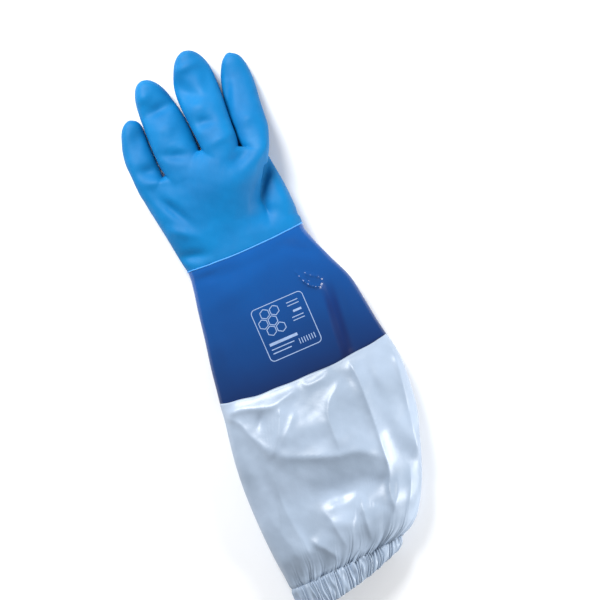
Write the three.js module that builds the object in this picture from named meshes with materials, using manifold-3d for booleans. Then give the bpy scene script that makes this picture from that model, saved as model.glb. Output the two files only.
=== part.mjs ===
// A beekeeping glove for the left hand, lying back of the hand up as it rests on a table.
// Units are millimetres. +Z is up and z = 0 is the surface it lies on. +Y runs to the fingertips and +X to the
// thumb's side. The origin is under the glove where the light coat ends, at the middle of the wrist.
// The coated hand, the smooth gauntlet, the cloth sleeve and the gathered cuff are four hollow pieces.
import * as THREE from "three";
import { mergeVertices } from "three/addons/utils/BufferGeometryUtils.js";
import Module from "manifold-3d";

// Lengths along the glove
const handLength = 185;
const coatOverrun = 3;
const wristLap = 8;
const gauntletLength = 120.5;
const seamLap = 8;
const sleeveLength = 177;
const cuffBand = 27;
const cuffShortSide = 12.5;

// Widths as the glove lies
const wristWidth = 113;
const knuckleWidth = 130;
const gauntletWidth = 164;
const sleeveWidth = 178;
const cuffWidth = 111.5;
const cuffTurnIn = 9;

// Heights as the glove lies
const wristHeight = 35;
const knuckleHeight = 33;
const gauntletHeight = 31;
const sleeveHeight = 40;
const cuffHeight = 30;
const thumbLift = 20.5;

// Fingers and thumb
const fingerWidth = 39;
const fingerHeight = 22;
const thumbWidth = 45;
const thumbHeight = 20;

// Walls and clearances
const handWall = 1.9;
const coatWall = 0.8;
const gauntletWall = 1.5;
const clothWall = 1.1;
const cuffWall = 2.6;
const fitGap = 0.3;

// Folds and gathers
const dentDepth = 3.2;
const creaseHeight = 3.2;
const wristBow = 3;
const seamBow = 6;
const knuckleBow = 16;
const gatherHeight = 1.5;
const gatherCount = 40;

// How far the end of the cloth swings towards the little finger's side, and how much lower that side hangs
const sleeveSwing = 33.5;
const cuffSlope = 6.5;

// Share of an oval's height that the table presses flat, and how square the ovals are
const pressed = 0.14;
const ovalPower = 2.5;

// Where the thumb under it lifts the palm: the lift grows from nothing to full between these shares of the knuckle
// width and of the hand's length, and the palm loses this share of its own height there
const liftAcross = { from: -0.34, to: 0.15 };
const liftAlong = { from: 0.05, to: 0.34 };
const flattening = 0.31;

// A finger's tip: its smallest width, the width as a share of the finger width under which its height shrinks too,
// and between which shares of its length its back comes down
const tipWidth = 3;
const roundsUnder = 0.55;
const backFrom = 0.05;
const backTo = 0.92;

// The cuff's own bow, how far its little finger side leans in as a share of its width, and the share of the sleeve
// over which the seam's bow dies out
const cuffBow = 2.5;
const cuffLean = 0.02;
const bowReach = 0.5;

// Points around each ring: those of the cloth fall on both sides of every gather
const handSides = gatherCount;
const fingerSides = 14;
const clothSides = 2 * gatherCount;

const clamp = THREE.MathUtils.clamp;
const lerp = THREE.MathUtils.lerp;
const smooth = THREE.MathUtils.smoothstep;

// Dents and bumps in the back of the hand: the middle's x as a share of the knuckle width, its y as a share of the
// hand's length, half length and half width as shares of the width, the turn of the long side in degrees from +X,
// and the rise as a share of the dents' depth.
const handDents = [
  { name: "index knuckle hollow", x: 0.2, y: 0.4, long: 0.14, wide: 0.06, turn: 20, rise: -0.9 },
  { name: "middle finger root", x: 0.06, y: 0.635, long: 0.08, wide: 0.045, turn: -18, rise: -0.7 },
  { name: "ring finger root", x: -0.23, y: 0.555, long: 0.12, wide: 0.045, turn: -25, rise: -0.8 },
  { name: "ring finger joint", x: -0.2, y: 0.8, long: 0.12, wide: 0.05, turn: 12, rise: -0.7 },
  { name: "ring finger knuckle", x: -0.18, y: 0.68, long: 0.1, wide: 0.07, turn: 0, rise: 0.5 },
  { name: "middle finger joint", x: 0.1, y: 0.84, long: 0.11, wide: 0.06, turn: -8, rise: -0.6 },
  { name: "little finger side", x: -0.4, y: 0.3, long: 0.17, wide: 0.06, turn: -50, rise: -0.9 },
  { name: "heel hollow", x: -0.4, y: 0.08, long: 0.14, wide: 0.055, turn: -22, rise: -0.8 },
  { name: "heel ridge", x: -0.4, y: 0.18, long: 0.14, wide: 0.05, turn: -28, rise: 0.6 },
  { name: "thumb web valley", x: 0.285, y: 0.16, long: 0.18, wide: 0.05, turn: 72, rise: -1.6 },
];

// The same for the gauntlet: shares of its width and length, y counted down from the wrist line.
const gauntletDents = [
  { name: "long hollow", x: 0.3, y: -0.76, long: 0.28, wide: 0.045, turn: 88, rise: -0.75 },
  { name: "buckle", x: 0.25, y: -0.43, long: 0.07, wide: 0.06, turn: -30, rise: 0.5 },
  { name: "wrist shoulder", x: 0.3, y: -0.2, long: 0.16, wide: 0.08, turn: -35, rise: -0.5 },
];

// Creases that run over the cloth: both ends as shares of the sleeve's width and length, y counted down from the
// seam, the half width as a share of the width, and the rise as a share of the creases' height.
const clothFolds = [
  { name: "star hollow", x0: -0.4, y0: -0.26, x1: -0.2, y1: -0.31, wide: 0.08, rise: -1 },
  { name: "middle crease", x0: 0.1, y0: -0.16, x1: 0.02, y1: -0.42, wide: 0.06, rise: 0.8 },
  { name: "long crease", x0: 0.23, y0: -0.06, x1: 0.22, y1: -0.62, wide: 0.06, rise: 0.9 },
  { name: "long crease end", x0: 0.22, y0: -0.62, x1: 0.16, y1: -0.86, wide: 0.06, rise: 0.8 },
  { name: "outer hollow", x0: 0.34, y0: -0.1, x1: 0.3, y1: -0.6, wide: 0.06, rise: -0.5 },
  { name: "broad hollow", x0: -0.24, y0: -0.47, x1: 0.08, y1: -0.55, wide: 0.16, rise: -1.2 },
  { name: "lower peak", x0: -0.18, y0: -0.73, x1: -0.06, y1: -0.76, wide: 0.09, rise: 0.7 },
  { name: "left drape", x0: -0.42, y0: -0.6, x1: -0.33, y1: -0.9, wide: 0.07, rise: -0.7 },
];

// The palm's outline: how far along the hand, then its left and right edges as shares of the width there, which
// runs from the wrist's to the knuckles', and the height as a share of the height there.
const palmRows = [
  { along: -0.016, left: 0.509, right: 0.484, height: 1 },
  { along: 0.043, left: 0.524, right: 0.474, height: 1 },
  { along: 0.108, left: 0.53, right: 0.4, height: 1 },
  { along: 0.173, left: 0.53, right: 0.345, height: 1 },
  { along: 0.238, left: 0.53, right: 0.345, height: 1 },
  { along: 0.303, left: 0.53, right: 0.378, height: 1 },
  { along: 0.368, left: 0.532, right: 0.413, height: 0.97 },
  { along: 0.432, left: 0.527, right: 0.418, height: 0.9 },
  { along: 0.476, left: 0.515, right: 0.405, height: 0.78 },
  { along: 0.505, left: 0.49, right: 0.38, height: 0.58 },
  { along: 0.522, left: 0.46, right: 0.35, height: 0.32 },
];
const knucklesAlong = 0.476;
const knucklesFrom = 0.368;

// Each finger's rows: how far along the hand, the middle's x as a share of the knuckle width and the width as a
// share of the finger width. root and tip are how high its back stands there, as shares of the finger height.
const fingers = [
  {
    name: "little",
    root: 1.17,
    tip: 0.8,
    thick: 0.9,
    rows: [
      { along: 0.378, x: -0.419, width: 0.54 },
      { along: 0.454, x: -0.435, width: 0.62 },
      { along: 0.541, x: -0.442, width: 0.67 },
      { along: 0.605, x: -0.444, width: 0.68 },
      { along: 0.67, x: -0.437, width: 0.636 },
      { along: 0.719, x: -0.425, width: 0.57 },
      { along: 0.757, x: -0.412, width: 0.46 },
      { along: 0.784, x: -0.406, width: 0.27 },
      { along: 0.797, x: -0.408, width: 0.08 },
    ],
  },
  {
    name: "ring",
    root: 1.62,
    tip: 0.9,
    thick: 1.02,
    rows: [
      { along: 0.41, x: -0.1815, width: 0.8 },
      { along: 0.497, x: -0.181, width: 0.96 },
      { along: 0.568, x: -0.182, width: 0.997 },
      { along: 0.649, x: -0.182, width: 0.997 },
      { along: 0.73, x: -0.185, width: 0.954 },
      { along: 0.811, x: -0.194, width: 0.854 },
      { along: 0.87, x: -0.199, width: 0.745 },
      { along: 0.91, x: -0.203, width: 0.57 },
      { along: 0.939, x: -0.208, width: 0.33 },
      { along: 0.951, x: -0.21, width: 0.08 },
    ],
  },
  {
    name: "middle",
    root: 2.13,
    tip: 0.95,
    thick: 1.02,
    rows: [
      { along: 0.41, x: 0.1115, width: 0.66 },
      { along: 0.497, x: 0.114, width: 0.833 },
      { along: 0.568, x: 0.114, width: 0.872 },
      { along: 0.649, x: 0.1146, width: 0.928 },
      { along: 0.73, x: 0.116, width: 0.987 },
      { along: 0.811, x: 0.119, width: 1 },
      { along: 0.87, x: 0.126, width: 0.955 },
      { along: 0.922, x: 0.134, width: 0.82 },
      { along: 0.962, x: 0.137, width: 0.628 },
      { along: 0.989, x: 0.1385, width: 0.36 },
      { along: 1.002, x: 0.1385, width: 0.08 },
    ],
  },
  {
    name: "index",
    root: 2,
    tip: 0.9,
    thick: 1,
    rows: [
      { along: 0.4, x: 0.354, width: 0.44 },
      { along: 0.486, x: 0.3605, width: 0.63 },
      { along: 0.541, x: 0.367, width: 0.685 },
      { along: 0.622, x: 0.3765, width: 0.72 },
      { along: 0.703, x: 0.3885, width: 0.745 },
      { along: 0.757, x: 0.3975, width: 0.74 },
      { along: 0.811, x: 0.407, width: 0.69 },
      { along: 0.854, x: 0.416, width: 0.569 },
      { along: 0.888, x: 0.423, width: 0.37 },
      { along: 0.911, x: 0.419, width: 0.08 },
    ],
  },
];

// The thumb is folded under the palm: along as above, x a share of the knuckle width, and width and height shares
// of the thumb's own.
const thumbRows = [
  { along: 0.035, x: 0.292, width: 0.63, height: 1.3 },
  { along: 0.085, x: 0.288, width: 0.7, height: 1.5 },
  { along: 0.2, x: 0.268, width: 0.77, height: 1.4 },
  { along: 0.3, x: 0.242, width: 0.9, height: 1.12 },
  { along: 0.37, x: 0.222, width: 0.97, height: 0.97 },
  { along: 0.45, x: 0.192, width: 1, height: 0.95 },
  { along: 0.53, x: 0.165, width: 0.9, height: 0.92 },
  { along: 0.59, x: 0.15, width: 0.68, height: 0.8 },
  { along: 0.625, x: 0.143, width: 0.4, height: 0.56 },
  { along: 0.638, x: 0.14, width: 0.12, height: 0.3 },
];

// The gauntlet's outline below the wrist: how far down it, then how much of the flare from the wrist to the seam
// each edge has taken, and the height as a share of the gauntlet's own.
const gauntletRows = [
  { along: 0.13, left: 0.1, right: 0.15, height: 1.08 },
  { along: 0.3, left: 0.34, right: 0.44, height: 1.03 },
  { along: 0.5, left: 0.58, right: 0.76, height: 1 },
  { along: 0.7, left: 0.76, right: 0.87, height: 1 },
  { along: 0.87, left: 0.91, right: 0.96, height: 1 },
];

// The sleeve's outline below the seam: how far down each edge is, and how far out from the line between the seam's
// and the cuff's corner as a share of the sleeve's width, and the height as a share of the sleeve's own.
const sleeveRows = [
  { leftAlong: 0.09, rightAlong: 0.09, left: 0.008, right: 0.046, height: 0.9 },
  { leftAlong: 0.19, rightAlong: 0.18, left: 0.022, right: 0.08, height: 0.98 },
  { leftAlong: 0.31, rightAlong: 0.29, left: 0.036, right: 0.108, height: 1 },
  { leftAlong: 0.44, rightAlong: 0.42, left: 0.043, right: 0.134, height: 0.96 },
  { leftAlong: 0.57, rightAlong: 0.55, left: 0.041, right: 0.137, height: 0.93 },
  { leftAlong: 0.7, rightAlong: 0.68, left: 0.034, right: 0.136, height: 0.95 },
  { leftAlong: 0.82, rightAlong: 0.8, left: 0.0225, right: 0.1235, height: 1 },
  { leftAlong: 0.93, rightAlong: 0.93, left: 0.0095, right: 0.084, height: 1 },
];
const gatherReach = 0.2;

// The cuff's rings: how far down the band, and how far it swells out over the elastic as a share of its wall.
const cuffRows = [
  { down: 0, swell: 0 },
  { down: 0.45, swell: 0.3 },
  { down: 1, swell: -0.2 },
];

// Where the main lines of the glove lie
const wristEdge = -coatOverrun;
const seamEdge = wristEdge - gauntletLength;
const cuffEdge = seamEdge - sleeveLength;
const wristShift = -0.0125 * wristWidth;
const seamShift = 0.017 * gauntletWidth;

// A signed power, which makes an oval squarer than an ellipse.
function squarer(value) {
  return Math.sign(value) * Math.abs(value) ** (2 / ovalPower);
}

// A point of the unit oval, u across and v up, and its turn.
function ovalPoint(index, sides) {
  const turn = (2 * Math.PI * index) / sides;
  return { u: squarer(Math.cos(turn)), v: squarer(Math.sin(turn)), turn };
}

// A row of a table at a given place, with each column read between the rows on either side.
function between(rows, key, place) {
  const after = rows.findIndex((row) => row[key] > place);
  const next = after < 0 ? rows.length - 1 : Math.max(after, 1);
  const [a, b] = [rows[next - 1], rows[next]];
  const share = clamp((place - a[key]) / (b[key] - a[key]), 0, 1);
  return Object.fromEntries(Object.keys(a).map((column) => [column, lerp(a[column], b[column], share)]));
}

// The rise of a patch of round dents at a point: each falls off as a bell along its two half lengths.
function dentRise(dents, x, y, width, length) {
  return dents.reduce((sum, dent) => {
    const turn = THREE.MathUtils.degToRad(dent.turn);
    const [dx, dy] = [x - dent.x * width, y - dent.y * length];
    const along = (dx * Math.cos(turn) + dy * Math.sin(turn)) / (dent.long * width);
    const across = (dy * Math.cos(turn) - dx * Math.sin(turn)) / (dent.wide * width);
    return sum + dent.rise * dentDepth * Math.exp(-2 * (along * along + across * across));
  }, 0);
}

// The rise of the creases at a point of the cloth: each is a bell across the line between its ends.
function foldRise(x, y) {
  return clothFolds.reduce((sum, fold) => {
    const start = new THREE.Vector2(fold.x0 * sleeveWidth, seamEdge + fold.y0 * sleeveLength);
    const end = new THREE.Vector2(fold.x1 * sleeveWidth, seamEdge + fold.y1 * sleeveLength);
    const run = end.clone().sub(start);
    const place = new THREE.Vector2(x, y).sub(start);
    const share = clamp(place.dot(run) / run.lengthSq(), 0, 1);
    const away = place.sub(run.multiplyScalar(share)).length() / (fold.wide * sleeveWidth);
    return sum + fold.rise * creaseHeight * Math.exp(-2 * away * away);
  }, 0);
}

// A flattened ring: an oval between a left and a right corner that stands on the table. inset moves its surface
// inwards, rise adds dents to its upper side, lift raises and flattens all of it, and wave moves it along its
// outward direction.
function lyingRing({ left, right, height, inset = 0, floor = 0, bow = 0, sides, rise, lift, wave }) {
  const half = right.clone().sub(left).multiplyScalar(0.5);
  const middle = left.clone().add(half);
  const reach = Math.max((half.length() - inset) / half.length(), 0.01);
  return Array.from({ length: sides }, (_, index) => {
    const { u, v, turn } = ovalPoint(index, sides);
    const out = wave ? wave(index) : 0;
    const x = middle.x + half.x * reach * u + out * Math.cos(turn);
    const y = middle.y + half.y * reach * u - bow * (1 - u * u);
    const raised = lift ? lift(x, y) : { rise: 0, flatten: 0 };
    const up = Math.max(height * (0.5 + pressed / 2) * (1 - raised.flatten) - inset, 0.2);
    const dents = rise && v > 0 ? rise(x, y) * smooth(v, 0, 0.7) : 0;
    const z = height * (0.5 - pressed / 2) + raised.rise + v * up + dents;
    return new THREE.Vector3(x, y, Math.max(z + out * Math.sin(turn), floor + inset));
  });
}

// Joins two rings of equal count by a band of triangles.
function band(faces, first, second, count) {
  for (let i = 0; i < count; i += 1) {
    const j = (i + 1) % count;
    faces.push(first + i, first + j, second + j, first + i, second + j, second + i);
  }
}

// An indexed geometry from points and faces, with every triangle turned if the closed surface is inside out.
function closedGeometry(points, faces) {
  const volume = faces.reduce((sum, _, k) => {
    if (k % 3) return sum;
    const [a, b, c] = [points[faces[k]], points[faces[k + 1]], points[faces[k + 2]]];
    return sum + a.dot(b.clone().cross(c));
  }, 0);
  const outward = volume > 0 ? faces : faces.map((_, k) => faces[k % 3 === 0 ? k : k % 3 === 1 ? k + 1 : k - 1]);
  return new THREE.BufferGeometry().setFromPoints(points).setIndex(outward);
}

// Closes a ring by strips between its upper and lower points, which stand over one another.
function cap(faces, first, count, last) {
  for (let i = 0; i < count / 2; i += 1) {
    const [a, b, c, d] = [i, i + 1, count - i - 1, (count - i) % count].map((k) => first + k);
    const strip = [...(b === c ? [] : [a, b, c]), ...(a === d ? [] : [a, c, d])];
    faces.push(...(last ? strip : strip.reverse()));
  }
}

// A solid lofted through rings of equal count, with both ends closed.
function loft(rings) {
  const count = rings[0].length;
  const faces = [];
  rings.slice(1).forEach((_, k) => band(faces, k * count, (k + 1) * count, count));
  cap(faces, 0, count, false);
  cap(faces, (rings.length - 1) * count, count, true);
  return closedGeometry(rings.flat(), faces);
}

// A tube with a real wall: outer rings one way, inner rings back, and a rim at each end.
function tube(outer, inner) {
  const count = outer[0].length;
  const rings = [...outer, ...inner.slice().reverse()];
  const faces = [];
  rings.forEach((_, k) => band(faces, k * count, ((k + 1) % rings.length) * count, count));
  return closedGeometry(rings.flat(), faces);
}

// The left and right corners of a ring that runs straight across the glove.
function corners(left, right, y) {
  return { left: new THREE.Vector2(left, y), right: new THREE.Vector2(right, y) };
}

// The rise of the dents in the back of the hand at a point.
function handRise(x, y) {
  return dentRise(handDents, x, y, knuckleWidth, handLength);
}

// How far the thumb lifts the palm at a point, and how much flatter the palm is there.
function palmLift(x, y) {
  const across = smooth(x, liftAcross.from * knuckleWidth, liftAcross.to * knuckleWidth);
  const along = smooth(y, liftAlong.from * handLength, liftAlong.to * handLength);
  return { rise: thumbLift * across * along, flatten: flattening * across * along };
}

// The palm's ring at a place along the hand.
function palmRing(along, inset) {
  const row = between(palmRows, "along", along);
  const share = smooth(along, 0, knucklesAlong);
  const width = lerp(wristWidth, knuckleWidth, share);
  const full = lerp(wristHeight, knuckleHeight, share);
  const domed = knuckleBow * smooth(along, knucklesFrom, palmRows[palmRows.length - 1].along);
  const y = along * handLength - domed;
  const sunk = (1 - row.height) * (0.5 - pressed / 2) * full;
  return lyingRing({
    ...corners(-row.left * width, row.right * width, y),
    height: full * row.height,
    inset,
    sides: handSides,
    bow: wristBow * (1 - smooth(y, wristEdge, 3 * wristLap)) - domed,
    rise: handRise,
    lift: (px, py) => {
      const raised = palmLift(px, py);
      return { rise: raised.rise + sunk, flatten: raised.flatten };
    },
  });
}

// The palm as a solid from one place along the hand to the finger roots, inset from the outer surface.
function palmSolid(start, inset) {
  const end = palmRows[palmRows.length - 1].along - inset / handLength;
  const stops = palmRows.map((row) => row.along).filter((along) => along > start + 0.01 && along < end - 0.005);
  return loft([start, ...stops, end].map((along) => palmRing(along, inset)));
}

// A finger as a solid from its root inside the palm to its tip. Its back comes down from the knuckle to the table.
function fingerSolid(finger, inset) {
  const [first, last] = [finger.rows[0], finger.rows[finger.rows.length - 1]];
  return loft(
    finger.rows.map((row) => {
      const share = (row.along - first.along) / (last.along - first.along);
      const width = Math.max(row.width * fingerWidth, tipWidth);
      const full = fingerHeight * finger.thick;
      const height = full * Math.min(1, Math.sqrt(row.width / roundsUnder));
      const back = fingerHeight * lerp(finger.root, finger.tip, smooth(share, backFrom, backTo));
      const middle = back - full * (0.5 + pressed / 2);
      const y = row.along * handLength - inset * share;
      return lyingRing({
        ...corners(row.x * knuckleWidth - width / 2, row.x * knuckleWidth + width / 2, y),
        height,
        inset: Math.min(inset, width / 2 - 0.5),
        sides: fingerSides,
        rise: handRise,
        lift: () => ({ rise: Math.max(middle, 0) - height * (0.5 - pressed / 2), flatten: 0 }),
      });
    }),
  );
}

// The thumb as a solid from the heel of the hand to its tip under the palm.
function thumbSolid(inset) {
  return loft(
    thumbRows.map((row) => {
      const [x, width] = [row.x * knuckleWidth, row.width * thumbWidth];
      const y = row.along * handLength + (row.along > 0.5 ? -inset : inset);
      return lyingRing({
        ...corners(x - width / 2, x + width / 2, y),
        height: row.height * thumbHeight,
        inset: Math.min(inset, width / 2 - 0.5),
        sides: fingerSides,
      });
    }),
  );
}

const wasm = await Module();
wasm.setup();

// A closed geometry as a manifold-3d solid.
function solidOf(geometry) {
  const merged = mergeVertices(geometry, 1e-4);
  return new wasm.Manifold(
    new wasm.Mesh({
      numProp: 3,
      vertProperties: merged.attributes.position.array,
      triVerts: new Uint32Array(merged.index.array),
    }),
  );
}

// A manifold-3d solid as a three.js geometry.
function geometryOf(solid) {
  const { vertProperties, triVerts } = solid.getMesh();
  return new THREE.BufferGeometry()
    .setAttribute("position", new THREE.BufferAttribute(new Float32Array(vertProperties), 3))
    .setIndex(new THREE.BufferAttribute(new Uint32Array(triVerts), 1));
}

// The hand: palm, fingers and thumb joined, hollowed by the same forms one wall in. The coat's edge runs over the
// top of the gauntlet in a pocket with a thinner wall.
function handGeometry() {
  const forms = (start, inset) =>
    [palmSolid(start, inset), ...fingers.map((finger) => fingerSolid(finger, inset)), thumbSolid(inset)].map(solidOf);
  const outer = forms(wristEdge / handLength, 0).reduce((a, b) => a.add(b));
  const hollow = forms((wristLap - fitGap) / handLength, handWall).reduce((a, b) => a.add(b));
  const mouth = palmRing(wristEdge / handLength, coatWall);
  const beyond = mouth.map((p) => p.clone().setY(p.y - wristLap));
  const pocket = solidOf(loft([beyond, mouth, palmRing((wristLap + fitGap) / handLength, coatWall)]));
  return geometryOf(outer.subtract(hollow.add(pocket)));
}

// The ring where the cloth is sewn over the gauntlet, inset from the gauntlet's outer surface.
function seamRing(y, inset, sides) {
  return lyingRing({
    ...corners(seamShift - gauntletWidth / 2, seamShift + gauntletWidth / 2, y),
    height: gauntletHeight,
    inset,
    floor: fitGap + clothWall,
    bow: seamBow,
    sides,
  });
}

// One ring of the gauntlet below the wrist.
function gauntletRing(row, inset) {
  const y = lerp(wristEdge, seamEdge, row.along);
  const left = lerp(wristShift - wristWidth / 2, seamShift - gauntletWidth / 2, row.left);
  const right = lerp(wristShift + wristWidth / 2, seamShift + gauntletWidth / 2, row.right);
  return lyingRing({
    ...corners(left, right, y),
    height: gauntletHeight * row.height,
    inset,
    bow: lerp(wristBow, seamBow, row.along),
    sides: handSides,
    rise: (px, py) => dentRise(gauntletDents, px, py, gauntletWidth, gauntletLength),
  });
}

// The gauntlet: a tube from inside the hand's coat to inside the sleeve.
function gauntletGeometry() {
  const rings = (wall) => [
    palmRing(wristLap / handLength, coatWall + fitGap + wall),
    palmRing(wristEdge / handLength, coatWall + fitGap + wall),
    ...gauntletRows.map((row) => gauntletRing(row, wall)),
    seamRing(seamEdge, wall, handSides),
    seamRing(seamEdge - seamLap, wall, handSides),
  ];
  return tube(rings(0), rings(gauntletWall));
}

// How far each point of a ring stands out in gathers: alternate points rise and fall.
function gatherWave(size) {
  return (index) => (index % 2 ? size : -size);
}

// The two corners of the sleeve's ring at a row: on the line from the seam to the cuff, moved out by the table.
function sleeveCorners(row) {
  const cuffMiddle = seamShift - sleeveSwing;
  return {
    left: new THREE.Vector2(
      lerp(seamShift - gauntletWidth / 2, cuffMiddle - cuffWidth / 2, row.leftAlong) - row.left * sleeveWidth,
      lerp(seamEdge, cuffEdge - cuffSlope / 2, row.leftAlong),
    ),
    right: new THREE.Vector2(
      lerp(seamShift + gauntletWidth / 2, cuffMiddle + cuffWidth / 2, row.rightAlong) + row.right * sleeveWidth,
      lerp(seamEdge, cuffEdge + cuffSlope / 2, row.rightAlong),
    ),
  };
}

// One ring of the sleeve, with the creases on its upper side and the gathers near the cuff.
function sleeveRing(row, inset) {
  const gathered = smooth(row.rightAlong, 1 - gatherReach, 1);
  return lyingRing({
    ...sleeveCorners(row),
    height: lerp(sleeveHeight, cuffHeight, gathered) * row.height,
    inset,
    bow: seamBow * (1 - smooth(row.rightAlong, 0, bowReach)),
    sides: clothSides,
    rise: foldRise,
    wave: gatherWave(gatherHeight * gathered),
  });
}

const sleeveEnd = { leftAlong: 1, rightAlong: 1, left: 0, right: 0, height: 1 };

// The sleeve: cloth sewn over the gauntlet's end, puffed out below the seam and gathered at the cuff.
function sleeveGeometry() {
  const rings = (wall) => [
    seamRing(seamEdge, wall - fitGap - clothWall, clothSides),
    seamRing(seamEdge - seamLap, wall - fitGap - clothWall, clothSides),
    ...sleeveRows.map((row) => sleeveRing(row, wall)),
    sleeveRing(sleeveEnd, wall),
  ];
  return tube(rings(0), rings(clothWall));
}

// A ring of the cuff at a row. The thumb's side of the band is short and turned in, and only the outer surface
// swells.
function cuffRing({ down, swell }, inset) {
  const { left, right } = sleeveCorners(sleeveEnd);
  const out = inset ? 0 : swell * cuffWall;
  left.add(new THREE.Vector2(cuffLean * cuffWidth * down, -fitGap - cuffBand * down));
  right.add(new THREE.Vector2(-cuffTurnIn * down * down, -fitGap - cuffShortSide * down));
  return lyingRing({
    left,
    right,
    height: cuffHeight,
    inset: inset - out,
    floor: out,
    sides: clothSides,
    bow: cuffBow * down,
    wave: gatherWave(gatherHeight),
  });
}

// The cuff: a gathered casing around the elastic.
function cuffGeometry() {
  const rings = (wall) => cuffRows.map((row) => cuffRing(row, wall));
  return tube(rings(0), rings(cuffWall));
}

const coatBlue = new THREE.MeshStandardMaterial({ color: 0x1f86d6, roughness: 0.8, metalness: 0 });
const glossBlue = new THREE.MeshStandardMaterial({ color: 0x0f4da3, roughness: 0.3, metalness: 0 });
const sleeveCloth = new THREE.MeshStandardMaterial({ color: 0xc3d2e4, roughness: 0.45, metalness: 0 });
const cuffCloth = new THREE.MeshStandardMaterial({ color: 0xb9c9dc, roughness: 0.5, metalness: 0 });

// One named piece of the glove.
function piece(name, geometry, material) {
  const mesh = new THREE.Mesh(geometry, material);
  mesh.name = name;
  return mesh;
}

const glove = new THREE.Group();
glove.add(
  piece("hand", handGeometry(), coatBlue),
  piece("gauntlet", gauntletGeometry(), glossBlue),
  piece("sleeve", sleeveGeometry(), sleeveCloth),
  piece("elastic_cuff", cuffGeometry(), cuffCloth),
);

export default glove;
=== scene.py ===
"""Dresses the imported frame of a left-hand beekeeping glove that lies back of the hand up.

The coated hand, the raised edge of its coat, the glossy gauntlet and its print, the cloth sleeve and the
gathered cuff are worked out as surfaces over the frame. +Z is up, +Y runs to the fingertips and +X to the
thumb's side. Shapes are worked out in millimetres and stored in metres.
"""

import math

import bmesh
import bpy
import numpy as np
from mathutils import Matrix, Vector


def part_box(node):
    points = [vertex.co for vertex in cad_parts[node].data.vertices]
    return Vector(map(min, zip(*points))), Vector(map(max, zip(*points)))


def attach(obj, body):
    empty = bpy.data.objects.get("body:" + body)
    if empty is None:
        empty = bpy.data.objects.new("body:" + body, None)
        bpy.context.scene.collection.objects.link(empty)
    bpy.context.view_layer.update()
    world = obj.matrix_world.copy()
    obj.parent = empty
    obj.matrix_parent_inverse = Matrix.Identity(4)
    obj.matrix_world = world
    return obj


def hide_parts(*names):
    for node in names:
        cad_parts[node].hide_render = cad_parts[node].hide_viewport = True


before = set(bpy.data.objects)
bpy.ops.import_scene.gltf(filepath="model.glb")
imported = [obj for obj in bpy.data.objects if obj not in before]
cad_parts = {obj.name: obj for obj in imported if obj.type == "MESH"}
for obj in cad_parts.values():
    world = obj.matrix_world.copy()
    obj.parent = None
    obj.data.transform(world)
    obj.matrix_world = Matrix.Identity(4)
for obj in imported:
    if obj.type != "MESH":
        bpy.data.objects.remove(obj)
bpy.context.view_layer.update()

bl_info = {
    "name": "Beekeeping Glove",
    "version": (1, 0, 0),
    "blender": (4, 5, 0),
    "location": "View3D > Sidebar > Glove",
    "description": "Builds a coated glove with a gathered cloth sleeve over its packed frame",
    "category": "Add Mesh",
}

MM = 0.001
BODY = "root"


def corners_of(node):
    """The lowest and the highest corner of a frame node, in millimetres."""
    return [np.array(corner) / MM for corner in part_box(node)]


# Driving sizes of the glove as it lies, in millimetres
TIP_SHARE = 1.002
HAND_LENGTH = corners_of("hand")[1][1] / TIP_SHARE
WRIST_WIDTH = 113.0
KNUCKLE_WIDTH = 130.0
GAUNTLET_WIDTH = corners_of("gauntlet")[1][0] - corners_of("gauntlet")[0][0]
SLEEVE_WIDTH = 178.0
CUFF_WIDTH = 111.5
WRIST_HEIGHT = 35.0
KNUCKLE_HEIGHT = 33.0
GAUNTLET_HEIGHT = 31.0
SLEEVE_HEIGHT = 40.0
CUFF_HEIGHT = 30.0
THUMB_LIFT = 20.5
FINGER_WIDTH = 39.0
FINGER_HEIGHT = 22.0
THUMB_WIDTH = 45.0
THUMB_HEIGHT = 20.0

# Walls and clearances, in millimetres
COAT_WALL = 1.1
GAUNTLET_WALL = 1.5
CLOTH_WALL = 1.1
CUFF_WALL = 1.2
LAP_INSET = 1.5
LIP_INSET = -0.35
BEAD_INSET = -0.3
BEAD_SHIFT = 0.35
LIP_STEP = 0.15
FIT_GAP = 0.3

# Main lines across the glove, in millimetres
WRIST_EDGE = -1.0
WRIST_BOW = 3.2
WRIST_LAP = 8.0
SEAM_EDGE = corners_of("sleeve")[1][1]
SEAM_BOW = 6.0
CUFF_EDGE = -300.5
CUFF_SLOPE = 6.5
CUFF_BAND = 27.0
CUFF_SHORT_SIDE = 12.5
CUFF_TURN_IN = 9.0
CUFF_LAP = 1.2
CUFF_STEP_IN = 1.5
CUFF_BOW = 2.5
SLEEVE_SWING = 33.5
WRIST_SHIFT = -0.0125 * WRIST_WIDTH
SEAM_SHIFT = 0.017 * GAUNTLET_WIDTH
KNUCKLE_BOW = 16.0

# How square the ovals are, how much of their height the table presses flat, and how much flatter the
# palm is over the thumb
OVAL_POWER = 2.5
PRESSED = 0.14
FLATTENING = 0.31

# The hand is joined out of forms a little too thin, smoothed and then grown back, which keeps the
# fingers apart
JOIN_INSET = 1.3
GROW_BACK = 1.55
TIP_BACK = 1.0
JOIN_VOXEL = 1.24
SMOOTH_ROUNDS = 20

# How finely each form is divided: the points round the hand's forms and the rows along them, the points
# round the bead and its tube, and rows and columns of the other pieces
FORM_SIDES = 96
PALM_ROWS = 120
FINGER_ROWS = 90
THUMB_ROWS = 70
BEAD_POINTS = 320
BEAD_SIDES = 10
GAUNTLET_GRID = (134, 330)
SLEEVE_GRID = (88, 480)
CUFF_GRID = (30, 720)

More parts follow.
